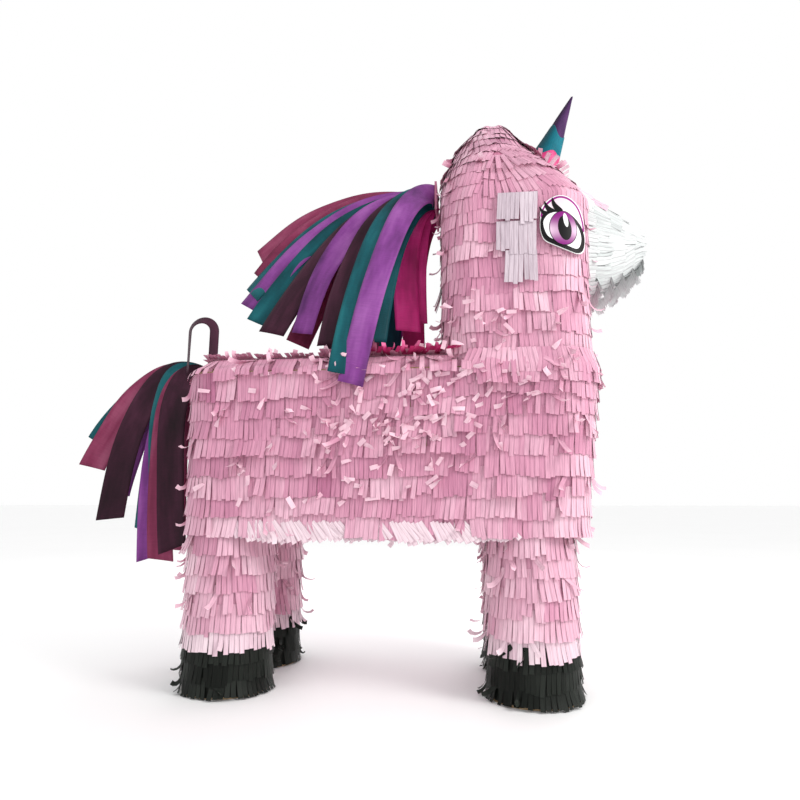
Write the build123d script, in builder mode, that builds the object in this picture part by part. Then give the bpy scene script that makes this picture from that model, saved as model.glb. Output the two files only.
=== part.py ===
from build123d import *

import os

from math import cos, pi, radians, sin

# A papier-mache unicorn pinata that stands on four round legs. Cardboard shells
# carry rows of cut tissue fringe, and ribbons make its mane and tail.
# Millimetres. +X is forward, towards the nose, +Z is up, and Y = 0 is the middle.
# The origin is on the floor, under the middle of the whole object.

os.makedirs("parts", exist_ok=True)

# ---------------------------------------------------------------- driving sizes
CARD = 3.0            # cardboard wall
TISSUE = 1.0          # a row of tissue strands, pressed flat
SKIN_GAP = 0.4        # glue line between cardboard and tissue
FLARE = 3.4           # how far the free end of a row stands out
ROW_GAP = 0.4         # between one row and the next
FIT = 0.2             # clearance of a scribed joint between two shells
LAID = 2.0            # thickness of the rows laid flat on the back, belly and crown
PAST = 20.0           # how far a cutting block reaches past what it cuts

# torso: a box with rounded corners and folded top edges
TORSO_BACK, TORSO_FRONT = -139.0, 230.0
TAPER_BACK, TAPER_FRONT = 2.0, 14.0    # how far the ends come in at the bottom
TORSO_HALF = 86.0
TORSO_LOW, TORSO_TOP = 140.0, 290.0
TORSO_CORNER = 30.0
TORSO_FOLD = 14.0     # height of the folded top edge
TORSO_ROWS = 8
EDGE_STAND = 1.0      # how far the folded edge's tissue stands off at its top
BACK_ROWS, BACK_ROW = 8, 16.4
BELLY_ROWS, BELLY_ROW = 10, 17.4
LAID_SPARE = 3.0      # between the laid rows and the tissue next to them

# neck column
NECK_BACK, NECK_FRONT = 95.0, 227.0
NECK_HALF = 82.0
NECK_CORNER = 34.0
NECK_ROWS = 4
NECK_ROW_LOW = 6.0    # the lowest neck row starts this far above the torso's edge
NECK_SPARE = 6.0      # the back's tissue stops this far behind the neck
HEAD_LOW = 350.0      # where the head box sits on the neck


def part_way(start, end, share):
    return start + (end - start) * share


# head: upright as far as the brow, then rounded over to a small crown
BROW, HEAD_TOP = 436.0, 549.0
BROW_FRONT = 231.0
CROWN_BACK, CROWN_FRONT, CROWN_HALF = 136.0, 160.0, 7.0
DOME_STEPS = 8
DOME_ROUNDING = 26.0  # how much rounder the corners get on the way up
CORNER_SHARE = 0.8    # the roundest that a corner may be, as a share of the half width


def dome_section(share):
    """Height, back, front, half width and corner radius, part of the way from brow to crown.

    The forehead is a straight slope, the sides come in as a cosine and the nape as a cube.
    """
    half = part_way(CROWN_HALF, NECK_HALF, cos(share * pi / 2))
    return (
        part_way(BROW, HEAD_TOP, share),
        part_way(NECK_BACK, CROWN_BACK, share**3),
        part_way(BROW_FRONT, CROWN_FRONT, share),
        half,
        min(NECK_CORNER + DOME_ROUNDING * share, CORNER_SHARE * half),
    )


HEAD_SECTIONS = [(HEAD_LOW, NECK_BACK, NECK_FRONT, NECK_HALF, NECK_CORNER)]
HEAD_SECTIONS += [dome_section(step / DOME_STEPS) for step in range(DOME_STEPS + 1)]
HEAD_ROW = 17.0
CROWN_LENGTH, CROWN_WIDTH, CROWN_CORNER = 26.0, 15.0, 6.0
SKIN_SPARE = 0.3      # between the head's tissue and a piece laid over it

# muzzle: it tapers evenly from the face to the nose, and its chin rises as a square
MUZZLE_BACK, MUZZLE_END, MUZZLE_STEPS = 206.0, 282.0, 4
MUZZLE_LOW, MUZZLE_HIGH, MUZZLE_HALF, MUZZLE_CORNER = 352.0, 470.0, 70.0, 34.0
NOSE_LOW, NOSE_HIGH, NOSE_HALF, NOSE_CORNER = 387.0, 421.0, 31.0, 15.0


def muzzle_section(share):
    """Distance forward, low edge, high edge, half width and corner radius, part of the way forward."""
    return (
        part_way(MUZZLE_BACK, MUZZLE_END, share),
        part_way(MUZZLE_LOW, NOSE_LOW, share**2),
        part_way(MUZZLE_HIGH, NOSE_HIGH, share),
        part_way(MUZZLE_HALF, NOSE_HALF, share),
        part_way(MUZZLE_CORNER, NOSE_CORNER, share),
    )


MUZZLE_SECTIONS = [muzzle_section(step / MUZZLE_STEPS) for step in range(MUZZLE_STEPS + 1)]
MUZZLE_START = 218.0
MUZZLE_ROWS = 4
MUZZLE_SPARE = 0.6    # between the muzzle's card and the head's tissue
NOSE_GROW, NOSE_THICK = 3.0, 3.0

# legs: round tubes, closed by a sole disc
LEG_R = 37.5
LEG_Y = 47.5
LEGS = {
    "rear_right": (-100.5, -LEG_Y),
    "rear_left": (-100.5, LEG_Y),
    "front_right": (168.0, -LEG_Y),
    "front_left": (168.0, LEG_Y),
}
SOLE = 3.0
LEG_FLARE = 3.6
HOOF_LOW, HOOF_TOP, HOOF_ROWS = 2.2, 44.0, 3
LEG_ROWS = 6

# fill flap, cut in the left side of the torso, with a rounded crease along its top
FLAP_X, FLAP_WIDTH = -20.0, 70.0
FLAP_FIRST_ROW, FLAP_LAST_ROW = 1, 5
FLAP_GAP = 0.8
FLAP_FRINGE_GAP = 1.2
FLAP_FRINGE_DROP = 5.0    # the flap's fringe hangs this far past its lower edge
FLAP_FRINGE_LOW = 2.0     # and starts this far below the crease's axis
FLAP_FRINGE_CLEAR = 3.5   # the torso's own row stops this far above the hole

# horn: a paper cone that leans forward
HORN_ROOT = (187.3, 0.0, 483.2)
HORN_TILT = 24.0
HORN_LENGTH = 109.5
HORN_R = 19.3
HORN_WALL = 1.4
WRAP = 0.7
WRAP_GAP = 0.1
HORN_SPLIT = 65.0     # where the teal wrap ends and the purple one starts
HORN_WRAP_LOW = 31.0
RUFFLE_LOW, RUFFLE_HIGH, RUFFLE_FLARE = 21.0, 35.0, 4.0
RUFFLE_GAP = 0.2
HORN_SPARE = 0.5      # between the horn's card and the head's tissue

# eyes and cheeks
EYE_X, EYE_Z = 202.0, 403.0
EYE_WIDTH, EYE_HEIGHT, EYE_TILT = 39.0, 52.0, 8.0
EYE_CARD = 0.6
FACE_Y = NECK_HALF + SKIN_GAP + FLARE + TISSUE
CHEEK_X, CHEEK_WIDTH = 163.5, 35.0
CHEEK_TOPS = [434.0, 407.0, 380.0]
CHEEK_DROP = 26.0

# ribbons
RIBBON = 1.0
MANE_ROOT = (88.0, 466.0)     # inside the pad, so each ribbon is cut at its face
TAIL_ROOT = (-145.6, 280.0)
ROOT_INSET = 1.0
ROOT_STEP = 2.3       # between neighbouring ribbons where they are glued
PAD = 2.2             # thickness of the card pad that a bundle is glued to
PAD_REACH = 15.0      # how far a pad reaches above and below the root
PAD_SPARE = 3.0       # and past the outermost ribbon
STATIONS = 9          # cross-sections along a ribbon

# Each ribbon: colour, width, the point where its free end is, and the point that
# its bend is drawn towards. In order across the neck.
MANE = [
    ("purple", 24, (19, -95.5, 262), (50, -64, 470)),
    ("teal", 20, (6, -93.0, 272), (32, -54, 478)),
    ("teal", 24, (34, -62, 306), (40, -36, 466)),
    ("pink", 24, (60, -48, 318), (50, -26, 462)),
    ("pink", 22, (68, -38, 334), (56, -20, 458)),
    ("wine", 24, (-16, -48, 312), (10, -24, 480)),
    ("purple", 24, (-46, -40, 320), (-6, -19, 480)),
    ("wine", 26, (-80, -27, 330), (0, -14, 484)),
    ("teal", 24, (-93, -19, 342), (-10, -10, 486)),
    ("purple", 26, (-102, -13, 358), (-8, -7, 492)),
    ("teal", 24, (-103, -8, 374), (-12, -4.5, 494)),
    ("magenta", 26, (-96, -3, 394), (-14, -1.5, 496)),
    ("magenta", 26, (-98, 2, 420), (-8, 1, 498)),
    ("teal", 24, (-94, 9, 384), (-10, 4.5, 494)),
    ("purple", 24, (-88, 16, 352), (-6, 8.5, 488)),
    ("magenta", 26, (-64, 26, 332), (0, 14, 484)),
    ("wine", 24, (-30, 37, 316), (10, 20, 480)),
    ("pink", 24, (56, 46, 322), (52, 25, 462)),
    ("teal", 24, (28, 62, 306), (38, 36, 466)),
    ("magenta", 20, (2, 93.0, 272), (30, 54, 478)),
    ("purple", 24, (16, 95.5, 262), (48, 64, 470)),
]

# The same for the tail, in order across the rump.
TAIL = [
    ("wine", 26, (-161, -44, 118), (-188, -34, 318)),
    ("magenta", 26, (-178, -33, 110), (-196, -26, 324)),
    ("teal", 22, (-188, -25, 186), (-198, -18, 328)),
    ("purple", 24, (-199, -18, 106), (-204, -13, 332)),
    ("wine", 26, (-240, -10, 146), (-216, -7, 338)),
    ("magenta", 26, (-273.5, -3, 196), (-212, -3, 336)),
    ("teal", 24, (-272, 4, 222), (-204, 3, 336)),
    ("purple", 24, (-248, 11, 166), (-212, 7, 338)),
    ("teal", 24, (-222, 20, 134), (-208, 14, 334)),
    ("magenta", 26, (-194, 31, 114), (-198, 24, 326)),
    ("wine", 26, (-164, 43, 120), (-188, 34, 318)),
]

# ribbon loop over the tail
LOOP_WIDTH = 9.0
LOOP_BACK, LOOP_FRONT = -162.0, -136.0
LOOP_BASE, LOOP_TOP = 288.0, 344.0
LOOP_Y = -27.0


# --------------------------------------------------------------------- helpers
def grown(section, amount):
    """A cross-section made larger all round: its first number is its place and stays."""
    place, low, high, half, corner = section
    return (place, low - amount, high + amount, half + amount, corner + amount)


def rounded_block(sections, grow=0.0):
    """A ruled solid through level rounded rectangles, grown outwards by grow."""
    with BuildPart() as block:
        for section in sections:
            height, back, front, half, corner = grown(section, grow)
            with BuildSketch(Plane.XY.offset(height)):
                with Locations(((back + front) / 2, 0)):
                    RectangleRounded(front - back, 2 * half, corner)
        loft(ruled=True)
    return block.part


def between(sections, height):
    """The cross-section at a height, part way between two listed ones."""
    for low, high in zip(sections, sections[1:]):
        if low[0] <= height <= high[0]:
            share = (height - low[0]) / (high[0] - low[0])
            return tuple(a + share * (b - a) for a, b in zip(low, high))
    return sections[-1]


def skirt(sections, bottom, top):
    """One row of tissue round a body: snug at its glued edge, standing out at its free one."""
    heights = [bottom] + [s[0] for s in sections if bottom < s[0] < top] + [top]
    inner, outer = [], []
    for height in heights:
        stand = SKIN_GAP + FLARE * (top - height) / (top - bottom)
        inner.append(grown(between(sections, height), stand))
        outer.append(grown(between(sections, height), stand + TISSUE))
    return hollow(rounded_block(outer), rounded_block(inner))


def skirts(sections, low, high, count):
    """Rows of tissue, one above the other, from height low up to high."""
    pitch = (high - low) / count
    bottoms = [low + index * pitch for index in range(count)]
    return [skirt(sections, bottom, bottom + pitch - ROW_GAP) for bottom in bottoms]


def facing_x(section, grow=0.0):
    """A muzzle cross-section's plane and size."""
    forward, low, high, half, corner = grown(section, grow)
    plane = Plane(origin=(forward, 0, (low + high) / 2), x_dir=(0, 1, 0), z_dir=(1, 0, 0))
    return plane, (2 * half, high - low, corner)


def muzzle_block(sections, grow=0.0):
    with BuildPart() as block:
        for section in sections:
            plane, size = facing_x(section, grow)
            with BuildSketch(plane):
                RectangleRounded(*size)
        loft(ruled=True)
    return block.part


def hollow(outer, inner, *cuts):
    """What is left between two forms, less whatever it has to clear."""
    with BuildPart() as shell:
        add(outer)
        add(inner, mode=Mode.SUBTRACT)
        for cut in cuts:
            add(cut, mode=Mode.SUBTRACT)
    return shell.part


def group(pieces, *cuts):
    """Several separate pieces as one node, less whatever they have to clear."""
    with BuildPart() as joined:
        for piece in pieces:
            add(piece)
        for cut in cuts:
            add(cut, mode=Mode.SUBTRACT)
    return joined.part


def box(low, high):
    """A block from its lowest corner to its highest."""
    size = [b - a for a, b in zip(low, high)]
    with BuildPart() as block:
        with BuildSketch(Plane.XY.offset(low[2])):
            with Locations(((low[0] + high[0]) / 2, (low[1] + high[1]) / 2)):
                Rectangle(size[0], size[1])
        extrude(amount=size[2])
    return block.part


def round_rows(x, y, low, high, count, radius, flare):
    """Rows of tissue round a vertical tube."""
    pitch = (high - low) / count
    snug = radius + SKIN_GAP
    with BuildPart() as rows:
        with BuildSketch(Plane(origin=(x, y, 0), x_dir=(1, 0, 0), z_dir=(0, -1, 0))):
            for index in range(count):
                bottom = low + index * pitch
                top = bottom + pitch - ROW_GAP
                with BuildLine():
                    Polyline(
                        (snug, top),
                        (snug + TISSUE, top),
                        (snug + flare + TISSUE, bottom),
                        (snug + flare, bottom),
                        close=True,
                    )
                make_face()
        revolve(axis=Axis((x, y, 0), (0, 0, 1)))
    return rows.part


tilt = radians(HORN_TILT)
horn_axis = Vector(sin(tilt), 0, cos(tilt))
horn_plane = Plane(origin=HORN_ROOT, x_dir=(cos(tilt), 0, -sin(tilt)), z_dir=(0, -1, 0))
slope = HORN_R / HORN_LENGTH


def horn_sleeve(low, high, inner, thickness, flare=0.0):
    """A cone-shaped sleeve round the horn, from low to high along it."""
    inner_low = (HORN_LENGTH - low) * slope + inner
    inner_high = (HORN_LENGTH - high) * slope + inner
    with BuildPart() as sleeve:
        with BuildSketch(horn_plane):
            with BuildLine():
                Polyline(
                    (inner_low + flare, low),
                    (inner_low + flare + thickness, low),
                    (inner_high + thickness, high),
                    (inner_high, high),
                    close=True,
                )
            make_face()
        revolve(axis=Axis(HORN_ROOT, horn_axis))
    return sleeve.part


def horn_cap(low, inner, thickness):
    """A pointed sleeve that closes over the horn's tip."""
    inner_low = (HORN_LENGTH - low) * slope + inner
    inner_tip = HORN_LENGTH + inner / slope
    outer_tip = HORN_LENGTH + (inner + thickness) / slope
    with BuildPart() as cap:
        with BuildSketch(horn_plane):
            with BuildLine():
                Polyline(
                    (inner_low, low),
                    (inner_low + thickness, low),
                    (0, outer_tip),
                    (0, inner_tip),
                    close=True,
                )
            make_face()
        revolve(axis=Axis(HORN_ROOT, horn_axis))
    return cap.part


def ribbon(root, bend, tip, width, side):
    """A flat ribbon along a quadratic curve, with its face turned to one side."""
    root, bend, tip = Vector(root), Vector(bend), Vector(tip)
    with BuildPart() as strip:
        for index in range(STATIONS):
            t = index / (STATIONS - 1)
            place = root * (1 - t) ** 2 + bend * (2 * t * (1 - t)) + tip * t**2
            along = ((bend - root) * (1 - t) + (tip - bend) * t).normalized()
            across = along.cross(Vector(0, side, 0)).normalized()
            with BuildSketch(Plane(origin=place, x_dir=across, z_dir=along)):
                Rectangle(width, RIBBON)
        loft(ruled=True)
    return strip.part


def ribbons(table, root):
    """All the ribbons of a bundle, by colour."""
    by_colour = {}
    for index, (colour, width, tip, bend) in enumerate(table):
        across = (index - (len(table) - 1) / 2) * ROOT_STEP
        side = -1 if tip[1] < 0 else 1
        start = (root[0], across, root[1])
        by_colour.setdefault(colour, []).append(ribbon(start, bend, tip, width, side))
    return by_colour


def save_bundle(name, table, root):
    """A glued pad and the ribbons that leave its rear face, one node for each colour."""
    half = len(table) * ROOT_STEP / 2 + PAD_SPARE
    face = root[0] - ROOT_INSET
    pad = box((face, -half, root[1] - PAD_REACH), (face + PAD, half, root[1] + PAD_REACH))
    low, high = root[1] - PAST, root[1] + PAST
    ahead = box((face, -half - PAST, low), (face + PAST, half + PAST, high))
    save(pad, f"{name}_pad")
    for colour, strips in ribbons(table, root).items():
        save(group(strips, ahead), f"{name}_{colour}")


def side_plane(x, z, side):
    """A plane on the face's tissue, facing right (side -1) or left (side 1)."""
    return Plane(origin=(x, side * (FACE_Y + SKIN_SPARE), z), x_dir=(1, 0, 0), z_dir=(0, side, 0))


def save(part, name):
    part.label = name
    export_step(part, f"parts/{name}.step")


# ------------------------------------------------------------------- main forms
TORSO_EDGE = TORSO_TOP - TORSO_FOLD
torso_edge = (TORSO_EDGE, TORSO_BACK, TORSO_FRONT, TORSO_HALF, TORSO_CORNER)
torso_low = (TORSO_LOW, TORSO_BACK + TAPER_BACK, TORSO_FRONT - TAPER_FRONT) + torso_edge[3:]
torso_top = grown((TORSO_TOP,) + torso_edge[1:], -TORSO_FOLD)
TORSO_SECTIONS = [torso_low, torso_edge, torso_top]
torso_form = rounded_block(TORSO_SECTIONS)
torso_clear = rounded_block([torso_low, torso_edge, (TORSO_TOP + FIT,) + torso_top[1:]], FIT)

neck_low = (TORSO_EDGE, NECK_BACK, NECK_FRONT, NECK_HALF, NECK_CORNER)
neck_high = (HEAD_LOW - FIT,) + neck_low[1:]
NECK_SECTIONS = [neck_low, neck_high]
neck_form = rounded_block(NECK_SECTIONS)
head_form = rounded_block(HEAD_SECTIONS)
muzzle_form = muzzle_block(MUZZLE_SECTIONS)

# ------------------------------------------------------------------------ torso
inside_low = grown((TORSO_LOW + CARD,) + torso_low[1:], -CARD)
inside_edge = grown((TORSO_EDGE - CARD,) + torso_edge[1:], -CARD)
inside_top = grown((TORSO_TOP - CARD,) + inside_edge[1:], -TORSO_FOLD)
torso_inside = rounded_block([inside_low, inside_edge, inside_top])

torso_pitch = (TORSO_EDGE - TORSO_LOW - ROW_GAP) / TORSO_ROWS
FLAP_TOP = TORSO_EDGE - FLAP_FIRST_ROW * torso_pitch
FLAP_LOW = TORSO_EDGE - FLAP_LAST_ROW * torso_pitch
flap_left, flap_right = FLAP_X - FLAP_WIDTH / 2, FLAP_X + FLAP_WIDTH / 2
inner_y = TORSO_HALF - CARD
far = TORSO_HALF + PAST

flap_hole = box((flap_left, inner_y - CARD, FLAP_LOW), (flap_right, far, FLAP_TOP))
save(hollow(torso_form, torso_inside, flap_hole), "torso_shell")

# the flap turns about the middle of its rounded top edge
HINGE_Y = TORSO_HALF - CARD / 2
HINGE_Z = FLAP_TOP - FLAP_GAP - CARD / 2
flap_panel = box(
    (flap_left + FLAP_GAP, inner_y, FLAP_LOW + FLAP_GAP),
    (flap_right - FLAP_GAP, TORSO_HALF, HINGE_Z),
)
with BuildPart() as flap:
    add(flap_panel)
    with BuildSketch(Plane.YZ.offset(flap_left + FLAP_GAP)):
        with Locations((HINGE_Y, HINGE_Z)):
            Circle(CARD / 2)
    extrude(amount=FLAP_WIDTH - 2 * FLAP_GAP)
save(flap.part, "fill_flap")

# ----------------------------------------------------------- neck, head, muzzle
neck_inside = rounded_block([grown(neck_low, -CARD), grown(neck_high, -CARD)])
save(hollow(neck_form, neck_inside, torso_clear), "neck_shell")

head_inside = rounded_block([grown(s, -CARD) for s in HEAD_SECTIONS[:-1]])
save(hollow(head_form, head_inside), "head_shell")

head_clear = rounded_block(HEAD_SECTIONS, FIT)
muzzle_inside = muzzle_block([grown(s, -CARD) for s in MUZZLE_SECTIONS[:-1]])
save(hollow(muzzle_form, muzzle_inside, head_clear), "muzzle_shell")

# ------------------------------------------------------------------------- legs
for name, (x, y) in LEGS.items():
    with BuildPart() as tube:
        with BuildSketch(Plane.XY.offset(SOLE)):
            with Locations((x, y)):
                Circle(LEG_R)
                Circle(LEG_R - CARD, mode=Mode.SUBTRACT)
        extrude(amount=TORSO_LOW - FIT - SOLE)
    save(tube.part, f"{name}_leg")

    with BuildPart() as sole:
        with BuildSketch():
            with Locations((x, y)):
                Circle(LEG_R)
        extrude(amount=SOLE)
    save(sole.part, f"{name}_sole")

    hoof = round_rows(x, y, HOOF_LOW, HOOF_TOP, HOOF_ROWS, LEG_R, LEG_FLARE)
    save(hoof, f"{name}_hoof_fringe")
    leg = round_rows(x, y, HOOF_TOP, TORSO_LOW - ROW_GAP, LEG_ROWS, LEG_R, LEG_FLARE)
    save(leg, f"{name}_leg_fringe")

# ------------------------------------------------------------- fringe of the body
side_rows = skirts(TORSO_SECTIONS, TORSO_LOW + ROW_GAP, TORSO_EDGE, TORSO_ROWS)
flap_zone_low = FLAP_LOW - FLAP_FRINGE_DROP
flap_zone = box((flap_left, inner_y, flap_zone_low), (flap_right, far, FLAP_TOP + FLAP_FRINGE_CLEAR))
save(group(side_rows, flap_zone), "torso_fringe")

flap_fringe_box = box(
    (flap_left + FLAP_FRINGE_GAP, inner_y, flap_zone_low + FLAP_FRINGE_GAP),
    (flap_right - FLAP_FRINGE_GAP, far, HINGE_Z - FLAP_FRINGE_LOW),
)
with BuildPart() as flap_fringe:
    add(group(side_rows))
    add(flap_fringe_box, mode=Mode.INTERSECT)
save(flap_fringe.part, "fill_flap_fringe")

# the folded top edge has a row of its own, open where the neck stands
edge_high = grown((TORSO_TOP + EDGE_STAND,) + torso_top[1:], EDGE_STAND)
edge_inner = rounded_block([grown(torso_edge, FLARE), edge_high])
edge_outer = rounded_block([grown(torso_edge, FLARE + TISSUE), grown(edge_high, TISSUE)])
neck_zone = box(
    (NECK_BACK - NECK_SPARE, -far, TORSO_EDGE - PAST),
    (TORSO_FRONT + PAST, far, TORSO_TOP + PAST),
)
save(hollow(edge_outer, edge_inner, neck_zone), "shoulder_fringe")

# rows laid along the back, and rows laid across the belly between the legs
back_start = TORSO_BACK + TORSO_FOLD + EDGE_STAND + LAID_SPARE
back_end = NECK_BACK - NECK_SPARE
with BuildPart() as back_fringe:
    with BuildSketch(Plane.XY.offset(TORSO_TOP + SKIN_GAP)):
        with Locations(((back_start + back_end) / 2, 0)):
            with GridLocations(0, BACK_ROW + ROW_GAP, 1, BACK_ROWS):
                Rectangle(back_end - back_start, BACK_ROW)
    extrude(amount=LAID)
save(back_fringe.part, "back_fringe")

belly_start = LEGS["rear_right"][0] + LEG_R + LEG_FLARE + LAID_SPARE
belly_end = LEGS["front_right"][0] - LEG_R - LEG_FLARE - LAID_SPARE
with BuildPart() as belly_fringe:
    with BuildSketch(Plane.XY.offset(TORSO_LOW - SKIN_GAP - LAID)):
        with Locations(((belly_start + belly_end) / 2, 0)):
            with GridLocations(BELLY_ROW + ROW_GAP, 0, BELLY_ROWS, 1):
                Rectangle(BELLY_ROW, 2 * (TORSO_HALF + LAID))
    extrude(amount=LAID)
save(belly_fringe.part, "belly_fringe")

# neck and head
laid_over = SKIN_GAP + LAID + ROW_GAP
torso_skin = rounded_block([torso_low, torso_edge, (TORSO_TOP + laid_over,) + torso_top[1:]], laid_over)
neck_rows = skirts(NECK_SECTIONS, TORSO_EDGE + NECK_ROW_LOW, HEAD_LOW - ROW_GAP, NECK_ROWS)
save(group(neck_rows, torso_skin), "neck_fringe")

head_rows = skirts(HEAD_SECTIONS, HEAD_LOW, HEAD_TOP, round((HEAD_TOP - HEAD_LOW) / HEAD_ROW))
muzzle_clear = muzzle_block(MUZZLE_SECTIONS, MUZZLE_SPARE)
horn_clear = horn_cap(0, HORN_SPARE - HORN_R, HORN_R + HORN_SPARE)
save(group(head_rows, muzzle_clear, horn_clear), "head_fringe")

with BuildPart() as crown:
    with BuildSketch(Plane.XY.offset(HEAD_TOP + SKIN_GAP)):
        with Locations(((CROWN_BACK + CROWN_FRONT) / 2, 0)):
            RectangleRounded(CROWN_LENGTH, CROWN_WIDTH, CROWN_CORNER)
    extrude(amount=LAID)
save(crown.part, "crown_patch")

# muzzle rows point forward
muzzle_pitch = (MUZZLE_END - MUZZLE_START) / MUZZLE_ROWS
muzzle_rows = []
for index in range(MUZZLE_ROWS):
    start = between(MUZZLE_SECTIONS, MUZZLE_START + index * muzzle_pitch)
    end = between(MUZZLE_SECTIONS, MUZZLE_START + (index + 1) * muzzle_pitch - ROW_GAP)
    ends = [grown(start, SKIN_GAP), grown(end, SKIN_GAP + FLARE)]
    muzzle_rows.append(hollow(muzzle_block(ends, TISSUE), muzzle_block(ends)))
skin = SKIN_GAP + FLARE + TISSUE + SKIN_SPARE
head_skin = rounded_block(HEAD_SECTIONS, skin)
neck_skin = rounded_block(NECK_SECTIONS, skin)
save(group(muzzle_rows, head_skin, neck_skin), "muzzle_fringe")

nose_plane, nose_size = facing_x(MUZZLE_SECTIONS[-1], NOSE_GROW)
with BuildPart() as nose:
    with BuildSketch(nose_plane.offset(SKIN_GAP)):
        RectangleRounded(*nose_size)
    extrude(amount=NOSE_THICK)
save(nose.part, "nose_fringe")

# ------------------------------------------------------------- eyes and cheeks
# each eye is a card that bends round the face's front corner
face = HEAD_SECTIONS[:2]
eye_skin = hollow(rounded_block(face, skin + EYE_CARD), rounded_block(face, skin))
for name, side in (("right", -1), ("left", 1)):
    with BuildPart() as eye:
        with BuildSketch(side_plane(EYE_X, EYE_Z, side).offset(PAST)):
            Ellipse(EYE_WIDTH / 2, EYE_HEIGHT / 2, rotation=side * EYE_TILT)
        extrude(amount=-2 * PAST)
        add(eye_skin, mode=Mode.INTERSECT)
    save(eye.part, f"eye_{name}")

    with BuildPart() as cheek:
        for top in CHEEK_TOPS:
            with BuildSketch(side_plane(CHEEK_X, top - CHEEK_DROP / 2, side)):
                Rectangle(CHEEK_WIDTH, CHEEK_DROP)
        extrude(amount=TISSUE)
    save(cheek.part, f"cheek_{name}")

# ------------------------------------------------------------------------- horn
horn = horn_cap(0, -HORN_WALL, HORN_WALL)
save(group([horn], head_clear), "horn_cone")

teal_wrap = horn_sleeve(HORN_WRAP_LOW, HORN_SPLIT, WRAP_GAP, WRAP)
save(group([teal_wrap], head_skin), "horn_teal_wrap")
save(horn_cap(HORN_SPLIT + ROW_GAP, WRAP_GAP, WRAP), "horn_purple_wrap")
ruffle = horn_sleeve(RUFFLE_LOW, RUFFLE_HIGH, WRAP_GAP + WRAP + RUFFLE_GAP, TISSUE, RUFFLE_FLARE)
save(group([ruffle], head_skin), "horn_ruffle")

# ---------------------------------------------------------------------- ribbons
save_bundle("mane", MANE, MANE_ROOT)
save_bundle("tail", TAIL, TAIL_ROOT)

loop_middle = ((LOOP_BACK + LOOP_FRONT) / 2, LOOP_Y - LOOP_WIDTH / 2, 0)
loop_r = (LOOP_FRONT - LOOP_BACK) / 2
with BuildPart() as loop:
    with BuildSketch(Plane(origin=loop_middle, x_dir=(1, 0, 0), z_dir=(0, -1, 0))):
        with BuildLine() as arch:
            right = Line((loop_r, LOOP_BASE), (loop_r, LOOP_TOP - loop_r))
            turn = ThreePointArc(right @ 1, (0, LOOP_TOP), (-loop_r, LOOP_TOP - loop_r))
            Line(turn @ 1, (-loop_r, LOOP_BASE))
            offset(amount=RIBBON, side=Side.LEFT)
        make_face()
    extrude(amount=-LOOP_WIDTH)
save(loop.part, "tail_loop")
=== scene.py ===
import math

import bmesh
import bpy
import numpy as np
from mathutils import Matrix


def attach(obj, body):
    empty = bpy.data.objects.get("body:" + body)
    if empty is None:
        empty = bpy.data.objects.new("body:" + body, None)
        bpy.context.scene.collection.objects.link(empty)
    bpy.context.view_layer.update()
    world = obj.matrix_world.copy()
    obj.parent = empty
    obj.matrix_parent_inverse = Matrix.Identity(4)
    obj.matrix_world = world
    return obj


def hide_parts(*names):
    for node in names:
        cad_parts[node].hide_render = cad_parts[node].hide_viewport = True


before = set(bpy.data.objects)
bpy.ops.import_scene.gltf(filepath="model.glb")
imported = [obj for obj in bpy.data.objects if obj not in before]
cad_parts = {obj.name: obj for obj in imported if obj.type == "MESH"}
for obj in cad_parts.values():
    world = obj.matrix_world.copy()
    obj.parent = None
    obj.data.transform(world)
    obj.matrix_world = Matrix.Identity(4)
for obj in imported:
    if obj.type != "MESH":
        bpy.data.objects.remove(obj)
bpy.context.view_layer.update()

# Looks of the unicorn pinata: rows of cut tissue over card shells, a wrapped paper horn,
# printed eyes, and a mane and a tail of crepe ribbons. Tables are in millimetres, as the
# CAD model has them, and meshes are made in metres.
MM = 0.001
rng = np.random.default_rng(23)

# ------------ sizes, from the CAD
TORSO_LOW, TORSO_EDGE, TORSO_TOP = 140.0, 276.0, 290.0
TORSO_FOLD = TORSO_TOP - TORSO_EDGE
TORSO_HALF, TORSO_BACK, TORSO_FRONT = 86.0, -139.0, 230.0
TORSO_CORNER, TOP_CORNER = 30.0, 16.0
NECK_BACK, NECK_FRONT, NECK_HALF, NECK_CORNER = 95.0, 227.0, 82.0, 34.0
NECK_FORM = (NECK_BACK, NECK_FRONT, NECK_HALF, NECK_CORNER)
HEAD_LOW = 350.0
TORSO = [
    (TORSO_LOW, TORSO_BACK + 2.0, TORSO_FRONT - 14.0, TORSO_HALF, TORSO_CORNER),
    (TORSO_EDGE, TORSO_BACK, TORSO_FRONT, TORSO_HALF, TORSO_CORNER),
    (TORSO_TOP, TORSO_BACK + TORSO_FOLD, TORSO_FRONT - TORSO_FOLD, TORSO_HALF - TORSO_FOLD, TOP_CORNER),
]
NECK = [(height, *NECK_FORM) for height in (TORSO_LOW, TORSO_EDGE, HEAD_LOW)]
BROW, HEAD_TOP, BROW_FRONT = 436.0, 549.0, 231.0
CROWN_BACK, CROWN_FRONT, CROWN_HALF = 136.0, 160.0, 7.0
DOME_STEPS, DOME_ROUNDING, CORNER_SHARE = 8, 26.0, 0.8
MUZZLE_BACK, MUZZLE_END, MUZZLE_STEPS = 206.0, 282.0, 4
MUZZLE_LOW, MUZZLE_HIGH, MUZZLE_HALF, MUZZLE_CORNER = 352.0, 470.0, 70.0, 34.0
NOSE_LOW, NOSE_HIGH, NOSE_HALF, NOSE_CORNER = 387.0, 421.0, 31.0, 15.0


def part_way(start, end, share):
    return start + (end - start) * share


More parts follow.
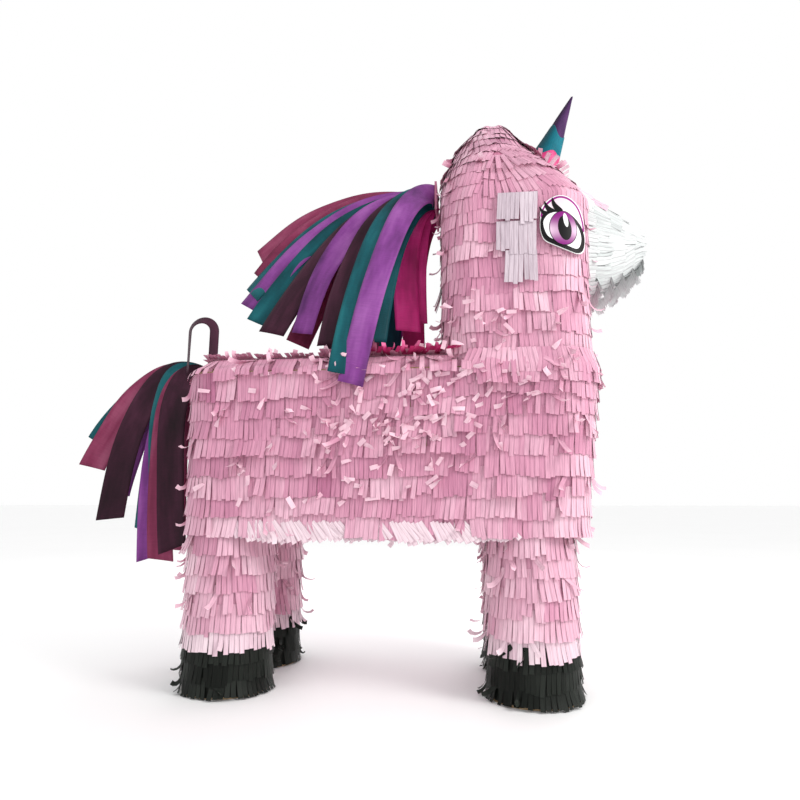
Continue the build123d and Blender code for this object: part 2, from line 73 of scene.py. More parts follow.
def dome_section(share):
    """Height, back, front, half width and corner radius, part of the way from brow to crown."""
    half = part_way(CROWN_HALF, NECK_HALF, math.cos(share * math.pi / 2))
    return (
        part_way(BROW, HEAD_TOP, share),
        part_way(NECK_BACK, CROWN_BACK, share**3),
        part_way(BROW_FRONT, CROWN_FRONT, share),
        half,
        min(NECK_CORNER + DOME_ROUNDING * share, CORNER_SHARE * half),
    )


def muzzle_section(share):
    """Distance forward, low edge, high edge, half width and corner radius, part of the way forward."""
    return (
        part_way(MUZZLE_BACK, MUZZLE_END, share),
        part_way(MUZZLE_LOW, NOSE_LOW, share**2),
        part_way(MUZZLE_HIGH, NOSE_HIGH, share),
        part_way(MUZZLE_HALF, NOSE_HALF, share),
        part_way(MUZZLE_CORNER, NOSE_CORNER, share),
    )


HEAD = [(HEAD_LOW, *NECK_FORM)]
HEAD += [dome_section(step / DOME_STEPS) for step in range(DOME_STEPS + 1)]
MUZZLE = [muzzle_section(step / MUZZLE_STEPS) for step in range(MUZZLE_STEPS + 1)]
LEGS = {
    "rear_right": (-100.5, -47.5),
    "rear_left": (-100.5, 47.5),
    "front_right": (168.0, -47.5),
    "front_left": (168.0, 47.5),
}
LEG_R = 37.5
HOOF_LOW, HOOF_TOP = 2.2, 44.0
ROW = 17.0                      # usual distance from one row to the next
FLAP_LEFT, FLAP_RIGHT = -55.0, 15.0
FLAP_LOW, FLAP_TOP = 191.25, 259.05
EYE_X, EYE_Z, FACE_Y = 202.0, 403.0, 87.1
CHEEK_X, CHEEK_WIDTH, CHEEK_TOPS = 163.5, 35.0, (434.0, 407.0, 380.0)
HORN_ROOT, HORN_TILT = (187.3, 0.0, 483.2), 24.0
HORN_LENGTH, HORN_R, HORN_SPLIT = 109.5, 19.3, 65.0
MANE_ROOT, TAIL_ROOT, ROOT_STEP = (87.0, 466.0), (-146.6, 280.0), 2.3

# Each ribbon: colour, width, free end, and the point that its bend is drawn towards.
MANE = [
    ("purple", 24, (19, -95.5, 262), (50, -64, 470)),
    ("teal", 20, (6, -93.0, 272), (32, -54, 478)),
    ("teal", 24, (34, -62, 306), (40, -36, 466)),
    ("pink", 24, (60, -48, 318), (50, -26, 462)),
    ("pink", 22, (68, -38, 334), (56, -20, 458)),
    ("wine", 24, (-16, -48, 312), (10, -24, 480)),
    ("purple", 24, (-46, -40, 320), (-6, -19, 480)),
    ("wine", 26, (-80, -27, 330), (0, -14, 484)),
    ("teal", 24, (-93, -19, 342), (-10, -10, 486)),
    ("purple", 26, (-102, -13, 358), (-8, -7, 492)),
    ("teal", 24, (-103, -8, 374), (-12, -4.5, 494)),
    ("magenta", 26, (-96, -3, 394), (-14, -1.5, 496)),
    ("magenta", 26, (-98, 2, 420), (-8, 1, 498)),
    ("teal", 24, (-94, 9, 384), (-10, 4.5, 494)),
    ("purple", 24, (-88, 16, 352), (-6, 8.5, 488)),
    ("magenta", 26, (-64, 26, 332), (0, 14, 484)),
    ("wine", 24, (-30, 37, 316), (10, 20, 480)),
    ("pink", 24, (56, 46, 322), (52, 25, 462)),
    ("teal", 24, (28, 62, 306), (38, 36, 466)),
    ("magenta", 20, (2, 93.0, 272), (30, 54, 478)),
    ("purple", 24, (16, 95.5, 262), (48, 64, 470)),
]
TAIL = [
    ("wine", 26, (-161, -44, 118), (-188, -34, 318)),
    ("magenta", 26, (-178, -33, 110), (-196, -26, 324)),
    ("teal", 22, (-188, -25, 186), (-198, -18, 328)),
    ("purple", 24, (-199, -18, 106), (-204, -13, 332)),
    ("wine", 26, (-240, -10, 146), (-216, -7, 338)),
    ("magenta", 26, (-273.5, -3, 196), (-212, -3, 336)),
    ("teal", 24, (-272, 4, 222), (-204, 3, 336)),
    ("purple", 24, (-248, 11, 166), (-212, 7, 338)),
    ("teal", 24, (-222, 20, 134), (-208, 14, 334)),
    ("magenta", 26, (-194, 31, 114), (-198, 24, 326)),
    ("wine", 26, (-164, 43, 120), (-188, 34, 318)),
]


# ------------ materials
def shader(name, roughness, specular=0.5, sheen=0.0):
    """A new material, with its node tree and Principled shader."""
    made = bpy.data.materials.new(name)
    made.use_nodes = True
    surface = made.node_tree.nodes["Principled BSDF"]
    surface.inputs["Roughness"].default_value = roughness
    surface.inputs["Specular IOR Level"].default_value = specular
    surface.inputs["Sheen Weight"].default_value = sheen
    return made, made.node_tree, surface


def added(tree, kind, vector=None, **values):
    """A new node, with its vector linked and some of its inputs set."""
    node = tree.nodes.new(kind)
    for name, value in values.items():
        node.inputs[name].default_value = value
    if vector:
        tree.links.new(vector, node.inputs["Vector"])
    return node


def ramp(tree, factor, stops):
    """The colour at a factor, through (place, colour) stops."""
    node = added(tree, "ShaderNodeValToRGB")
    element = node.color_ramp.elements
    while len(element) < len(stops):
        element.new(0.5)
    for e, (place, colour) in zip(element, stops):
        e.position = place
        e.color = (*colour, 1.0)
    tree.links.new(factor, node.inputs["Fac"])
    return node.outputs["Color"]


def attribute(tree, name, output="Fac"):
    node = added(tree, "ShaderNodeAttribute")
    node.attribute_name = name
    return node.outputs[output]


def noise(tree, vector, scale, detail=2.0, roughness=0.5):
    node = added(tree, "ShaderNodeTexNoise", vector, Scale=scale, Detail=detail, Roughness=roughness)
    return node.outputs["Fac"]


def scaled(tree, vector, scale):
    return added(tree, "ShaderNodeMapping", vector, Scale=scale).outputs["Vector"]


def on_object(tree):
    return added(tree, "ShaderNodeTexCoord").outputs["Object"]


def mixed(tree, factor, a, b, kind="MIX"):
    """a and b, or a times b, by factor. Each is a socket or a colour."""
    node = added(tree, "ShaderNodeMix")
    node.data_type = "RGBA"
    node.blend_type = kind
    for value, socket in ((factor, node.inputs[0]), (a, node.inputs[6]), (b, node.inputs[7])):
        if isinstance(value, bpy.types.NodeSocket):
            tree.links.new(value, socket)
        else:
            socket.default_value = (*value, 1.0) if isinstance(value, tuple) else value
    return node.outputs[2]


def bump(tree, surface, height, strength, distance):
    node = added(tree, "ShaderNodeBump", Strength=strength, Distance=distance)
    tree.links.new(height, node.inputs["Height"])
    tree.links.new(node.outputs["Normal"], surface.inputs["Normal"])


WHOLE = (1.0, 1.0, 1.0)         # a colour that leaves what it multiplies as it is


def tissue(name, deep, main, pale, roughness=0.5, sheen=0.2, specular=0.3):
    """Cut tissue: creased along each strand, with painted shade in the creases and in the slits between
    strands; each strand a little different, and painted paler where it curls up, as light catching it.
    """
    made, tree, surface = shader(name, roughness, specular, sheen)
    tint = ramp(tree, attribute(tree, "tint"), [(0.0, deep), (0.45, main), (1.0, pale)])
    streak = noise(tree, scaled(tree, attribute(tree, "fibre", "Vector"), (1.1, 0.07, 1.0)), 1.0, 3.0)
    # painted shade: the crease noise that makes the bump also darkens the colour in the creases
    crease_shade = ramp(tree, streak, [(0.32, (0.74, 0.72, 0.74)), (0.62, WHOLE)])
    crease_shaded = mixed(tree, 0.8, tint, crease_shade, "MULTIPLY")
    # painted shade in the slits: each strand darkens towards its edges, where it meets its neighbours
    slit_shade = ramp(tree, attribute(tree, "edge"), [(0.72, WHOLE), (1.0, (0.72, 0.66, 0.69))])
    slit_shaded = mixed(tree, 1.0, crease_shaded, slit_shade, "MULTIPLY")
    # painted highlight: a strand is mixed towards the pale colour as much as it curls up, for light catching
    # the lifted tissue
    curled = mixed(tree, attribute(tree, "curl"), slit_shaded, pale)
    tree.links.new(curled, surface.inputs["Base Color"])
    bump(tree, surface, streak, 0.55, 0.0006)
    return made


def crepe(name, deep, main, pale):
    """Crepe ribbon: fine crinkles across its width, with painted shade in them, and slow changes of shade
    along it.
    """
    made, tree, surface = shader(name, 0.5, 0.16, 0.03)
    fibre = attribute(tree, "fibre", "Vector")
    slow = noise(tree, scaled(tree, fibre, (0.05, 0.016, 1.0)), 1.0, 3.0, 0.6)
    shade = ramp(tree, slow, [(0.25, deep), (0.5, main), (0.78, pale)])
    fine = noise(tree, scaled(tree, fibre, (0.1, 1.3, 1.0)), 1.0, 4.0, 0.65)
    # painted shade: the crinkle noise that makes the bump also darkens the colour in the crinkles
    lines = ramp(tree, fine, [(0.3, (0.78, 0.78, 0.78)), (0.65, WHOLE)])
    tree.links.new(mixed(tree, 0.6, shade, lines, "MULTIPLY"), surface.inputs["Base Color"])
    bump(tree, surface, fine, 0.5, 0.0005)
    return made


def card(name, deep, pale):
    """Bare cardboard: specks and soft flutes."""
    made, tree, surface = shader(name, 0.85, 0.2)
    place = on_object(tree)
    specks = noise(tree, scaled(tree, place, (500, 500, 160)), 1.0, 4.0, 0.6)
    tree.links.new(ramp(tree, specks, [(0.3, deep), (0.7, pale)]), surface.inputs["Base Color"])
    flutes = added(tree, "ShaderNodeTexWave", place, Scale=75.0, Distortion=0.4)
    bump(tree, surface, flutes.outputs["Fac"], 0.25, 0.0004)
    return made


def printed(name, colour, other=None):
    """Satin printed card, in one ink or shaded from one ink to another by its glow."""
    made, tree, surface = shader(name, 0.45, 0.15)
    grain = noise(tree, on_object(tree), 900.0, 3.0)
    shown = ramp(tree, grain, [(0.3, tuple(0.93 * c for c in colour)), (0.7, colour)])
    if other:
        shown = mixed(tree, attribute(tree, "glow"), shown, other)
    tree.links.new(shown, surface.inputs["Base Color"])
    bump(tree, surface, grain, 0.05, 0.0002)
    return made


def plain(name, colour, roughness):
    """The floor's finish."""
    made, tree, surface = shader(name, roughness)
    grain = noise(tree, on_object(tree), 3.0)
    shade = ramp(tree, grain, [(0.3, tuple(0.985 * c for c in colour)), (0.7, colour)])
    tree.links.new(shade, surface.inputs["Base Color"])
    return made


PINK = tissue("pink tissue", (0.48, 0.16, 0.28), (0.68, 0.31, 0.44), (0.92, 0.62, 0.72))
PALE = tissue("pale pink tissue", (0.66, 0.42, 0.52), (0.80, 0.56, 0.65), (0.92, 0.74, 0.80))
WHITE = tissue("white tissue", (0.46, 0.50, 0.49), (0.60, 0.64, 0.63), (0.76, 0.79, 0.78), sheen=0.0)
CHEEK = tissue("lilac white tissue", (0.46, 0.37, 0.43), (0.58, 0.48, 0.54), (0.74, 0.64, 0.70))
BLACK = tissue(
    "black tissue", (0.002, 0.003, 0.002), (0.006, 0.008, 0.006), (0.030, 0.036, 0.030), 0.5, 0.0, 0.14
)
# The deep ends of the hot pink, teal and purple tissue carry the painted shade on the horn's rear side; the
# teal and purple ones are near black.
HOT = tissue("hot pink tissue", (0.22, 0.004, 0.05), (0.60, 0.02, 0.17), (0.80, 0.16, 0.36), sheen=0.05)
TEAL = tissue("teal tissue", (0.001, 0.012, 0.014), (0.001, 0.14, 0.19), (0.005, 0.19, 0.25), 0.6, 0.0, 0.15)
VIOLET = tissue(
    "purple tissue", (0.006, 0.003, 0.008), (0.055, 0.016, 0.085), (0.10, 0.026, 0.13), 0.6, 0.0, 0.15
)
CREPES = {
    "purple": crepe("purple crepe", (0.085, 0.018, 0.11), (0.23, 0.05, 0.27), (0.38, 0.12, 0.42)),
    "teal": crepe("teal crepe", (0.001, 0.028, 0.036), (0.003, 0.085, 0.105), (0.015, 0.17, 0.19)),
    "pink": crepe("hot pink crepe", (0.22, 0.006, 0.07), (0.50, 0.02, 0.17), (0.62, 0.07, 0.27)),
    "magenta": crepe("magenta crepe", (0.09, 0.010, 0.030), (0.23, 0.030, 0.085), (0.36, 0.09, 0.17)),
    "wine": crepe("wine crepe", (0.012, 0.003, 0.007), (0.038, 0.008, 0.021), (0.09, 0.022, 0.05)),
}
CARD = card("bare card", (0.30, 0.20, 0.11), (0.50, 0.36, 0.22))
PINK_CARD = card("pink pad card", (0.42, 0.12, 0.22), (0.58, 0.24, 0.35))


# ------------ surfaces
def unit(vectors):
    """Vectors made 1 long."""
    return vectors / np.maximum(np.linalg.norm(vectors, axis=-1, keepdims=True), 1e-9)


def square_to(vectors, way):
    """What vectors have across a direction, made 1 long."""
    return unit(vectors - (vectors * way).sum(-1, keepdims=True) * way)


def points_at(x, y, z):
    """Points whose coordinates are arrays, or numbers that they share."""
    return np.stack(np.broadcast_arrays(x, y, z), -1)


def picked(lines, which):
    return tuple(v[which] for v in lines)


def ease(value, zero, one):
    """0 at one value and 1 at another, even between them and level beyond."""
    return np.clip((value - zero) / (one - zero), 0, 1)


def between(sections, place):
    """The cross-section at a place, part way between two listed ones."""
    places = [s[0] for s in sections]
    return [np.interp(place, places, [s[k] for s in sections]) for k in range(1, 5)]


def seat(sections, place, spot):
    """Where spots lie on the rounded rectangle at a place: centre line, side and outward direction.
    A spot is a number from 0 to 8: even spans are the flat sides, odd ones the corners."""
    low, high, half, corner = between(sections, place)
    across, up = (high - low) / 2 - corner, half - corner
    centres = np.array([(-across, -up), (across, -up), (across, up), (-across, up), (-across, -up)])
    span = np.floor(spot).astype(int) % 8
    share = spot - np.floor(spot)
    flat = span % 2 == 0
    start = centres[(span + 1) // 2]
    end = centres[np.minimum(span // 2 + 1, 4)]
    middle = np.where(flat[:, None], start + (end - start) * share[:, None], start)
    turn = np.radians(-90.0 + 90.0 * (span // 2) + np.where(flat, 0.0, 90.0 * share))
    out = np.stack([np.cos(turn), np.sin(turn)], 1)
    return middle + out * corner + np.array([(low + high) / 2, 0.0]), out


def spans_round(sections, place):
    """How far round a cross-section each of its eight spans begins, and the whole way round."""
    low, high, half, corner = between(sections, place)
    flats = [high - low - 2 * corner, 2 * (half - corner)]
    spans = np.array([flats[0], corner * math.pi / 2, flats[1], corner * math.pi / 2] * 2)
    return np.concatenate([[0.0], np.cumsum(spans)])


def spots_round(sections, place, step):
    """Spots every step round a cross-section."""
    ends = spans_round(sections, place)
    count = max(8, round(ends[-1] / step))
    along = (np.arange(count) + rng.random()) * ends[-1] / count
    return np.interp(along, ends, np.arange(9)), ends[-1] / count


def to_world(flat, place, forward):
    """A cross-section's points in the row frame: level sections, or ones that face forward."""
    across, up = flat.T
    return points_at(place, up, across) if forward else points_at(across, up, place)


def lines_on(sections, start, reach, spot, forward=False, steps=26):
    """Lines down or forward along a body from a row's glued edge, with outward and sideways directions."""
    way = 1.0 if forward else -1.0
    points, outs = [], []
    for travelled in np.linspace(0, reach, steps):
        place = start + way * travelled
        flat, out = seat(sections, place, spot)
        points.append(to_world(flat, place, forward))
        outs.append(to_world(out, 0.0, forward))
    points, outs = np.stack(points, 1), np.stack(outs, 1)
    down = unit(np.gradient(points, axis=1))
    normal = square_to(outs, down)
    return points, normal, np.cross(down, normal)


def lines_flat(roots, down, normal, reach):
    """Straight lines from roots, for rows laid on a flat face."""
    travelled = np.linspace(0, reach, 4)[None, :, None]
    down, normal = (np.broadcast_to(np.asarray(v, float), roots.shape)[:, None] for v in (down, normal))
    points = roots[:, None] + down * travelled
    down, normal = (np.broadcast_to(v, points.shape) for v in (down, normal))
    return points, normal, np.cross(down, normal)


# ------------ strands
def smooth_noise(count, width):
    """Random numbers about 0 that change slowly along a row that closes on itself."""
    raw = rng.normal(size=count)
    kernel = np.exp(-np.linspace(-2, 2, 2 * width + 1) ** 2)
    if count <= width:
        return np.zeros(count)
    wrapped = np.concatenate([raw[-width:], raw, raw[:width]])
    return np.convolve(wrapped, kernel / np.sqrt((kernel**2).sum()), "valid")[:count]


def panels(count):
    """Which panel each strand of a row hangs in: neighbours that stayed together."""
    sizes = rng.integers(2, 9, size=count)
    return np.repeat(np.arange(len(sizes)), sizes)[:count]


def by_panel(panel, spread):
    return rng.normal(0, spread, size=panel.max() + 1)[panel]


def bend_strands(lines, length, width, lean, curl, start, sway, twist, base, rows, cup, spread=1.0):
    """Each strand as a strip of points (strands, rows, 3 across, 3). Angles are in radians."""
    points, normals, sides = lines
    t = np.linspace(0, 1, rows)
    part = np.clip((t[None] - start[:, None]) / (1 - start[:, None]), 0, 1)
    angle = lean[:, None] * (0.5 + t[None]) + curl[:, None] * part**1.4
    step = (length / (rows - 1))[:, None]
    middle = (angle[:, 1:] + angle[:, :-1]) / 2
    zero = np.zeros((len(length), 1))
    run = np.concatenate([zero, np.cumsum(np.cos(middle) * step, 1)], 1)
    lift = base[:, None] + np.concatenate([zero, np.cumsum(np.sin(middle) * step, 1)], 1)
    shift = run * np.tan(sway)[:, None] + np.sin(sway)[:, None] * length[:, None] * 0.3 * t[None] ** 2
    gaps = np.linalg.norm(np.diff(points, axis=1), axis=2)
    arc = np.concatenate([np.zeros((len(points), 1)), np.cumsum(gaps, 1)], 1)
    along = np.maximum(run * np.cos(sway)[:, None], 0)
    place, out, side = np.empty((3, len(points), rows, 3))
    for n in range(len(points)):
        for k in range(3):
            for found, given in ((place, points), (out, normals), (side, sides)):
                found[n, :, k] = np.interp(along[n], arc[n], given[n, :, k])
    centre = place + out * lift[..., None] + side * shift[..., None]
    heading = unit(np.gradient(centre, axis=1))
    turn = (twist[:, None] * t[None])[..., None]
    flat = square_to(side, heading)
    across = flat * np.cos(turn) + np.cross(heading, flat) * np.sin(turn)
    proud = np.cross(across, heading)
    half = (width / 2)[:, None, None] * (1 + (spread - 1) * t)[None, :, None]
    bowed = centre + proud * (cup * width)[:, None, None] * np.sin(np.pi * np.clip(t, 0.1, 1))[None, :, None]
    return np.stack([centre - across * half, bowed, centre + across * half], 2), angle


def belongs(made, body, nodes):
    """Put a piece on the body empty it rides on, and hide the CAD nodes that it stands for."""
    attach(made, body)
    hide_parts(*nodes)


def grid_quads(index):
    """Faces between the neighbours of grids of vertex numbers."""
    corners = [index[..., :-1, :-1], index[..., :-1, 1:], index[..., 1:, 1:], index[..., 1:, :-1]]
    return np.stack(corners, -1).reshape(-1, 4)


class Fringe:
    """Strands gathered into one piece."""

    def __init__(self):
        self.batches = []

    def add(self, strips, tint, curl, width, length):
        self.batches.append((strips, tint, curl, width, length))

    def build(self, name, material, nodes, slot, body="body", held="hung", rests_on="torso_shell"):
        count = sum(len(b[0]) for b in self.batches)
        columns = math.ceil(math.sqrt(count * 5))
        lines = math.ceil(count / columns)
        verts, quads, values = [], [], []
        first, done = 0, 0
        for strips, tint, curl, width, length in self.batches:
            n, rows, wide, _ = strips.shape
            quads.append(grid_quads(first + np.arange(n * rows * wide).reshape(n, rows, wide)))
            verts.append(strips.reshape(-1, 3) * MM)
            each = (rng.random(n) * 900, done + np.arange(n), tint, width, length)
            seed, cell, tint, width, length = (v[:, None, None] for v in each)
            across, along = np.linspace(0, 1, wide), np.linspace(0, 1, rows)[:, None]
            fibre = (across * width + seed, along * length + seed, seed)
            u = (cell % columns + 0.06 + 0.88 * across) / columns
            v = (cell // columns + 0.03 + 0.94 * along) / lines
            found = np.broadcast_arrays(*fibre, tint, curl[:, :, None], np.abs(2 * across - 1), u, v)
            values.append(np.stack(found, -1).reshape(-1, len(found)))
            first += n * rows * wide
            done += n
        values = np.concatenate(values)
        made = quad_mesh(name, np.concatenate(verts), np.concatenate(quads), values[:, 6:], material)
        put(made.data, "fibre", values[:, :3])
        for column, label in enumerate(("tint", "curl", "edge"), 3):
            put(made.data, label, values[:, column])
        belongs(made, body, nodes)
        strip = float(np.concatenate([b[4] for b in self.batches]).mean()) * MM
        run = sum(float((b[3] * b[4]).sum()) for b in self.batches) * MM * MM / strip


def quad_mesh(name, verts, quads, uv, material):
    """A mesh of four-cornered faces, with its own places in the bake."""
    data = bpy.data.meshes.new(name)
    data.vertices.add(len(verts))
    data.vertices.foreach_set("co", verts.astype(np.float32).ravel())
    data.loops.add(quads.size)
    data.loops.foreach_set("vertex_index", quads.astype(np.int32).ravel())
    data.polygons.add(len(quads))
    data.polygons.foreach_set("loop_start", np.arange(0, quads.size, 4, dtype=np.int32))
    data.polygons.foreach_set("use_smooth", np.ones(len(quads), bool))
    data.update(calc_edges=True)
    layer = data.uv_layers.new(name="OFBake")
    layer.data.foreach_set("uv", uv[quads.ravel()].astype(np.float32).ravel())
    data.materials.append(material)
    made = bpy.data.objects.new(name, data)
    bpy.context.scene.collection.objects.link(made)
    return made


def put(data, name, values):
    """A value for each point of a mesh, or for its fibres three."""
    vector = name == "fibre"
    layer = data.attributes.new(name, "FLOAT_VECTOR" if vector else "FLOAT", "POINT")
    layer.data.foreach_set("vector" if vector else "value", values.astype(np.float32).ravel())


def near_decal(points):
    """Whether a strand starts near an eye or a cheek patch, where it has to lie flat."""
    x, y, z = points.T
    side = np.abs(y) > 66
    eye = (np.abs(x - EYE_X) < 27) & (z > EYE_Z - 30) & (z < EYE_Z + 52)
    cheek = (np.abs(x - CHEEK_X) < CHEEK_WIDTH / 2 + 5) & (z > 350) & (z < 462)
    return side & (eye | cheek)


def wildness(points):
    """How many strands stand out and curl: most in the middle of the torso's sides."""
    x, y, z = points.T
    middle = np.exp(-(((x - 40) / 75) ** 2) - ((z - 246) / 42) ** 2)
    shoulder = np.exp(-(((x - 160) / 60) ** 2) - ((z - 300) / 60) ** 2)
    return 0.055 + 0.16 * middle + 0.06 * shoulder


def painted_light_and_paleness(points):
    """Where the tissue is paler: the chest, painted paler where the key light falls on its front, the
    forehead, the lowest rows and the legs. The top of the dome and the upper rear of the torso are painted
    darker, as shade.
    """
    x, y, z = points.T
    # painted light on the chest; the shade term below is painted shade
    chest = ease(x, 195, 225) * ease(z, 400, 340)
    brow = ease(x, 185, 210) * ease(z, 430, 450)
    low = ease(z, 190, 155) * np.where(z > 150, 1.0, 0.85)
    shade = ease(z, 455, 495) * (1 - brow) + ease(x, -40, -120) * ease(z, 170, 210)
    return 0.26 * chest + 0.3 * brow + 0.24 * low - 0.10 * shade


def add_row(
    fringe, lines, pitch, step, overlap=1.5, lean=3.4, wild=1.0, tint=0.5, under=True, stiff=False, spread=1.0
):
    """One row of strands: a flat under layer, and an upper one in panels, with some strands curled.
    A stiff row lies flat, with no loose strands."""
    root = lines[0][:, 0]
    count = len(root)
    calm = near_decal(root) | stiff
    flat = np.zeros(count)
    if under:
        length = np.full(count, pitch * overlap * 0.95) + rng.normal(0, 0.5, count)
        width = np.full(count, step * 1.12)
        sway = np.radians(by_panel(panels(count), 1.5))
        lean_under, base = np.radians(flat + 1.2), flat + 0.35
        strips, angle = bend_strands(
            lines, length, width, lean_under, flat, flat + 0.5, sway, flat, base, 4, flat, spread
        )
        # The under layer is painted darker than the strands over it, as shade beneath them.
        shaded_under_tint = np.clip(tint + 0.7 * painted_light_and_paleness(root) - 0.12 + rng.normal(0, 0.04, count), 0, 1)
        fringe.add(strips, shaded_under_tint, np.zeros((count, 4)), width, length)
    panel = panels(count)
    slow = smooth_noise(count, 5)
    tilt = np.clip(lean + by_panel(panel, 1.1) + 0.9 * slow + rng.normal(0, 0.45, count), 0.6, 18)
    lifted = rng.random(panel.max() + 1)[panel] < 0.05 * wild
    tilt = np.where(lifted, tilt + rng.uniform(4, 15, panel.max() + 1)[panel], tilt)
    loose = rng.random(count) < wildness(root) * wild
    loose &= ~calm
    tilt = np.where(calm, np.clip(tilt, 0.8, 4.0), tilt)
    curl = np.where(loose, rng.uniform(45, 150, count), np.abs(rng.normal(0, 4, count)))
    curl = np.where(calm, 0.0, curl)
    start = np.where(loose, rng.uniform(0.15, 0.6, count), 0.5)
    sway = by_panel(panel, 2.4) + rng.normal(0, 0.6, count)
    sway = np.where(loose, np.clip(rng.normal(0, 24, count), -40, 40), sway)
    sway = np.where(calm, np.clip(sway, -3, 3), sway)
    twist = np.where(loose, rng.normal(0, 48, count), rng.normal(0, 4, count))
    length = pitch * overlap * (1 + by_panel(panel, 0.045)) + rng.normal(0, 0.7, count)
    width = step * rng.uniform(0.98, 1.06, count)
    tilt, curl, sway, twist = (np.radians(v) for v in (tilt, curl, sway, twist))
    base, cup = 0.9 + rng.uniform(0, 0.22, count), rng.normal(0, 0.03, count)
    strips, angle = bend_strands(lines, length, width, tilt, curl, start, sway, twist, base, 8, cup, spread)
    shade = tint + painted_light_and_paleness(root) + 0.10 * by_panel(panel, 1.0) + 0.08 * slow + rng.normal(0, 0.035, count)
    # The curl value paints a strand paler the more it turns up from the row: a painted highlight on lifted
    # tissue.
    fringe.add(strips, np.clip(shade, 0, 1), ease(np.degrees(angle), 38, 78) * 0.9, width, length)


def body_rows(fringe, sections, tops, step, keep, **style):
    """Rows round a body. keep says which spots of a row to use, from their points."""
    for top, pitch in tops:
        spot, wide = spots_round(sections, top, step)
        lines = lines_on(sections, top, pitch * REACH, spot)
        used = keep(lines[0][:, 0])
        if used.sum() < 3:
            continue
        spread = spans_round(sections, top - pitch)[-1] / spans_round(sections, top)[-1]
        add_row(fringe, picked(lines, used), pitch, wide, spread=float(np.clip(spread, 0.8, 1.5)), **style)


def standing(side, way, out):
    """Directions along a side of the body and a little out from it, and the way that they face."""
    down = unit(points_at(np.cos(way), side * out, np.sin(way)))
    return down, square_to(np.array([0.0, side, 0.0]), down)


def loose_curls(fringe, count, place, spread, side, out, tint=0.8):
    """Short strands, painted bright as light catches them, that stand up from the rows, scattered round a
    place on a side.
    """
    x = place[0] + rng.normal(0, spread[0], count)
    z = place[1] + rng.normal(0, spread[1], count)
    fine = (x > TORSO_BACK + 12) & (x < TORSO_FRONT - 30) & (z > TORSO_LOW + 14) & (z < 340)
    by_flap = (x > FLAP_LEFT - 16) & (x < FLAP_RIGHT + 16) & (z > FLAP_LOW - 16) & (z < FLAP_TOP + 22)
    fine &= (side < 0) | ~by_flap
    x, z = x[fine], z[fine]
    count = len(x)
    lines = lines_flat(
        points_at(x, side * out, z), *standing(side, np.radians(rng.normal(25, 55, count)), 0.10), 30
    )
    length = rng.uniform(6.5, 12.5, count)
    width = rng.uniform(3.2, 4.6, count)
    flat = np.zeros(count)
    lean, curl = np.radians(rng.uniform(4, 20, count)), np.radians(rng.normal(0, 45, count))
    twist, cup = np.radians(rng.normal(0, 60, count)), rng.normal(0, 0.12, count)
    strips, angle = bend_strands(lines, length, width, lean, curl, flat + 0.2, flat, twist, flat, 7, cup)
    # painted highlight: each curl is painted paler by its curl value and its high tint
    shown = np.broadcast_to(rng.uniform(0.25, 1.0, count)[:, None], angle.shape)
    fringe.add(strips, np.clip(tint + rng.normal(0, 0.15, count), 0, 1), shown, width, length)


def even(low, high, count):
    """Row tops from high down to low, with the pitch."""
    pitch = (high - low) / count
    return [(low + pitch * (n + 1), pitch) for n in range(count)][::-1]


def along_slope(sections, low, high, spot=1.0):
    """Row tops about a row apart, measured down the slope of the side."""
    heights = np.linspace(high, low, 400)
    points = np.array([seat(sections, h, np.array([spot]))[0][0] for h in heights])
    gaps = np.hypot(np.linalg.norm(np.diff(points, axis=0), axis=1), np.diff(heights))
    arc = np.concatenate([[0], np.cumsum(gaps)])
    count = round(arc[-1] / ROW)
    marks = np.interp(np.arange(count) * arc[-1] / count, arc, heights)
    return [(float(m), arc[-1] / count) for m in marks]


# ------------ rows of the torso
STRAND, FINE_STRAND = 4.1, 3.9
REACH = 1.7                     # how far each row's lines go, in pitches
TORSO_TINT = 0.46
SIDE_ROWS = even(TORSO_LOW + 0.4, TORSO_EDGE, 8)
DEEP_TORSO = [(TORSO_LOW - 60.0, *TORSO[0][1:]), *TORSO]


def beside_flap(points, margin):
    """On the flap's side, between its ends with a margin added."""
    x, y, z = points.T
    return (y > TORSO_HALF - 2) & (x > FLAP_LEFT - margin) & (x < FLAP_RIGHT + margin)


torso, flap = Fringe(), Fringe()
for number, (top, pitch) in enumerate(SIDE_ROWS):
    spot, wide = spots_round(DEEP_TORSO, top, STRAND)
    lines = lines_on(DEEP_TORSO, top, pitch * REACH, spot)
    root = lines[0][:, 0]
    height = root[:, 2]
    on_flap = beside_flap(root, -1) & (height > FLAP_LOW + 4) & (height < FLAP_TOP + 3)
    over = beside_flap(root, 6) & (height > FLAP_TOP)
    add_row(torso, picked(lines, ~on_flap & ~over), pitch, wide, tint=TORSO_TINT, lean=5.5)
    if over.any():
        add_row(torso, picked(lines, over), pitch, wide, overlap=0.92, wild=0.0, stiff=True, tint=TORSO_TINT)
    if on_flap.any():
        lines = lines_on(DEEP_TORSO, min(top, FLAP_TOP - 4.0), pitch * REACH, spot[on_flap])
        add_row(flap, lines, pitch, wide, overlap=1.3, wild=0.4, tint=TORSO_TINT, stiff=number == 1)
# Loose curls: how many, their middle, how far they scatter, and how far out from the torso's side.
CURLS = [
    (34, (62, 246), (34, 22), 3.2),
    (26, (92, 218), (30, 24), 3.2),
    (22, (20, 214), (36, 26), 3.2),
    (16, (-60, 250), (40, 24), 3.2),
    (18, (120, 262), (34, 14), 3.2),
    (14, (-20, 178), (60, 16), 3.2),
    (12, (150, 316), (34, 18), 0.5),
]
for side in (-1, 1):
    for count, place, spread, out in CURLS:
        loose_curls(torso, count, place, spread, side, TORSO_HALF + out)
torso.build("torso_tissue", PINK, ["torso_fringe"], "tissue_pink")
flap.build("flap_tissue", PINK, ["fill_flap_fringe"], "tissue_pink", body="flap", rests_on="fill_flap")


def clear_of_neck(points):
    return (points[:, 0] < NECK_BACK + 30) | (points[:, 0] > NECK_FRONT + 8)


def beside_neck(points):
    return points[:, 0] > NECK_BACK + 22


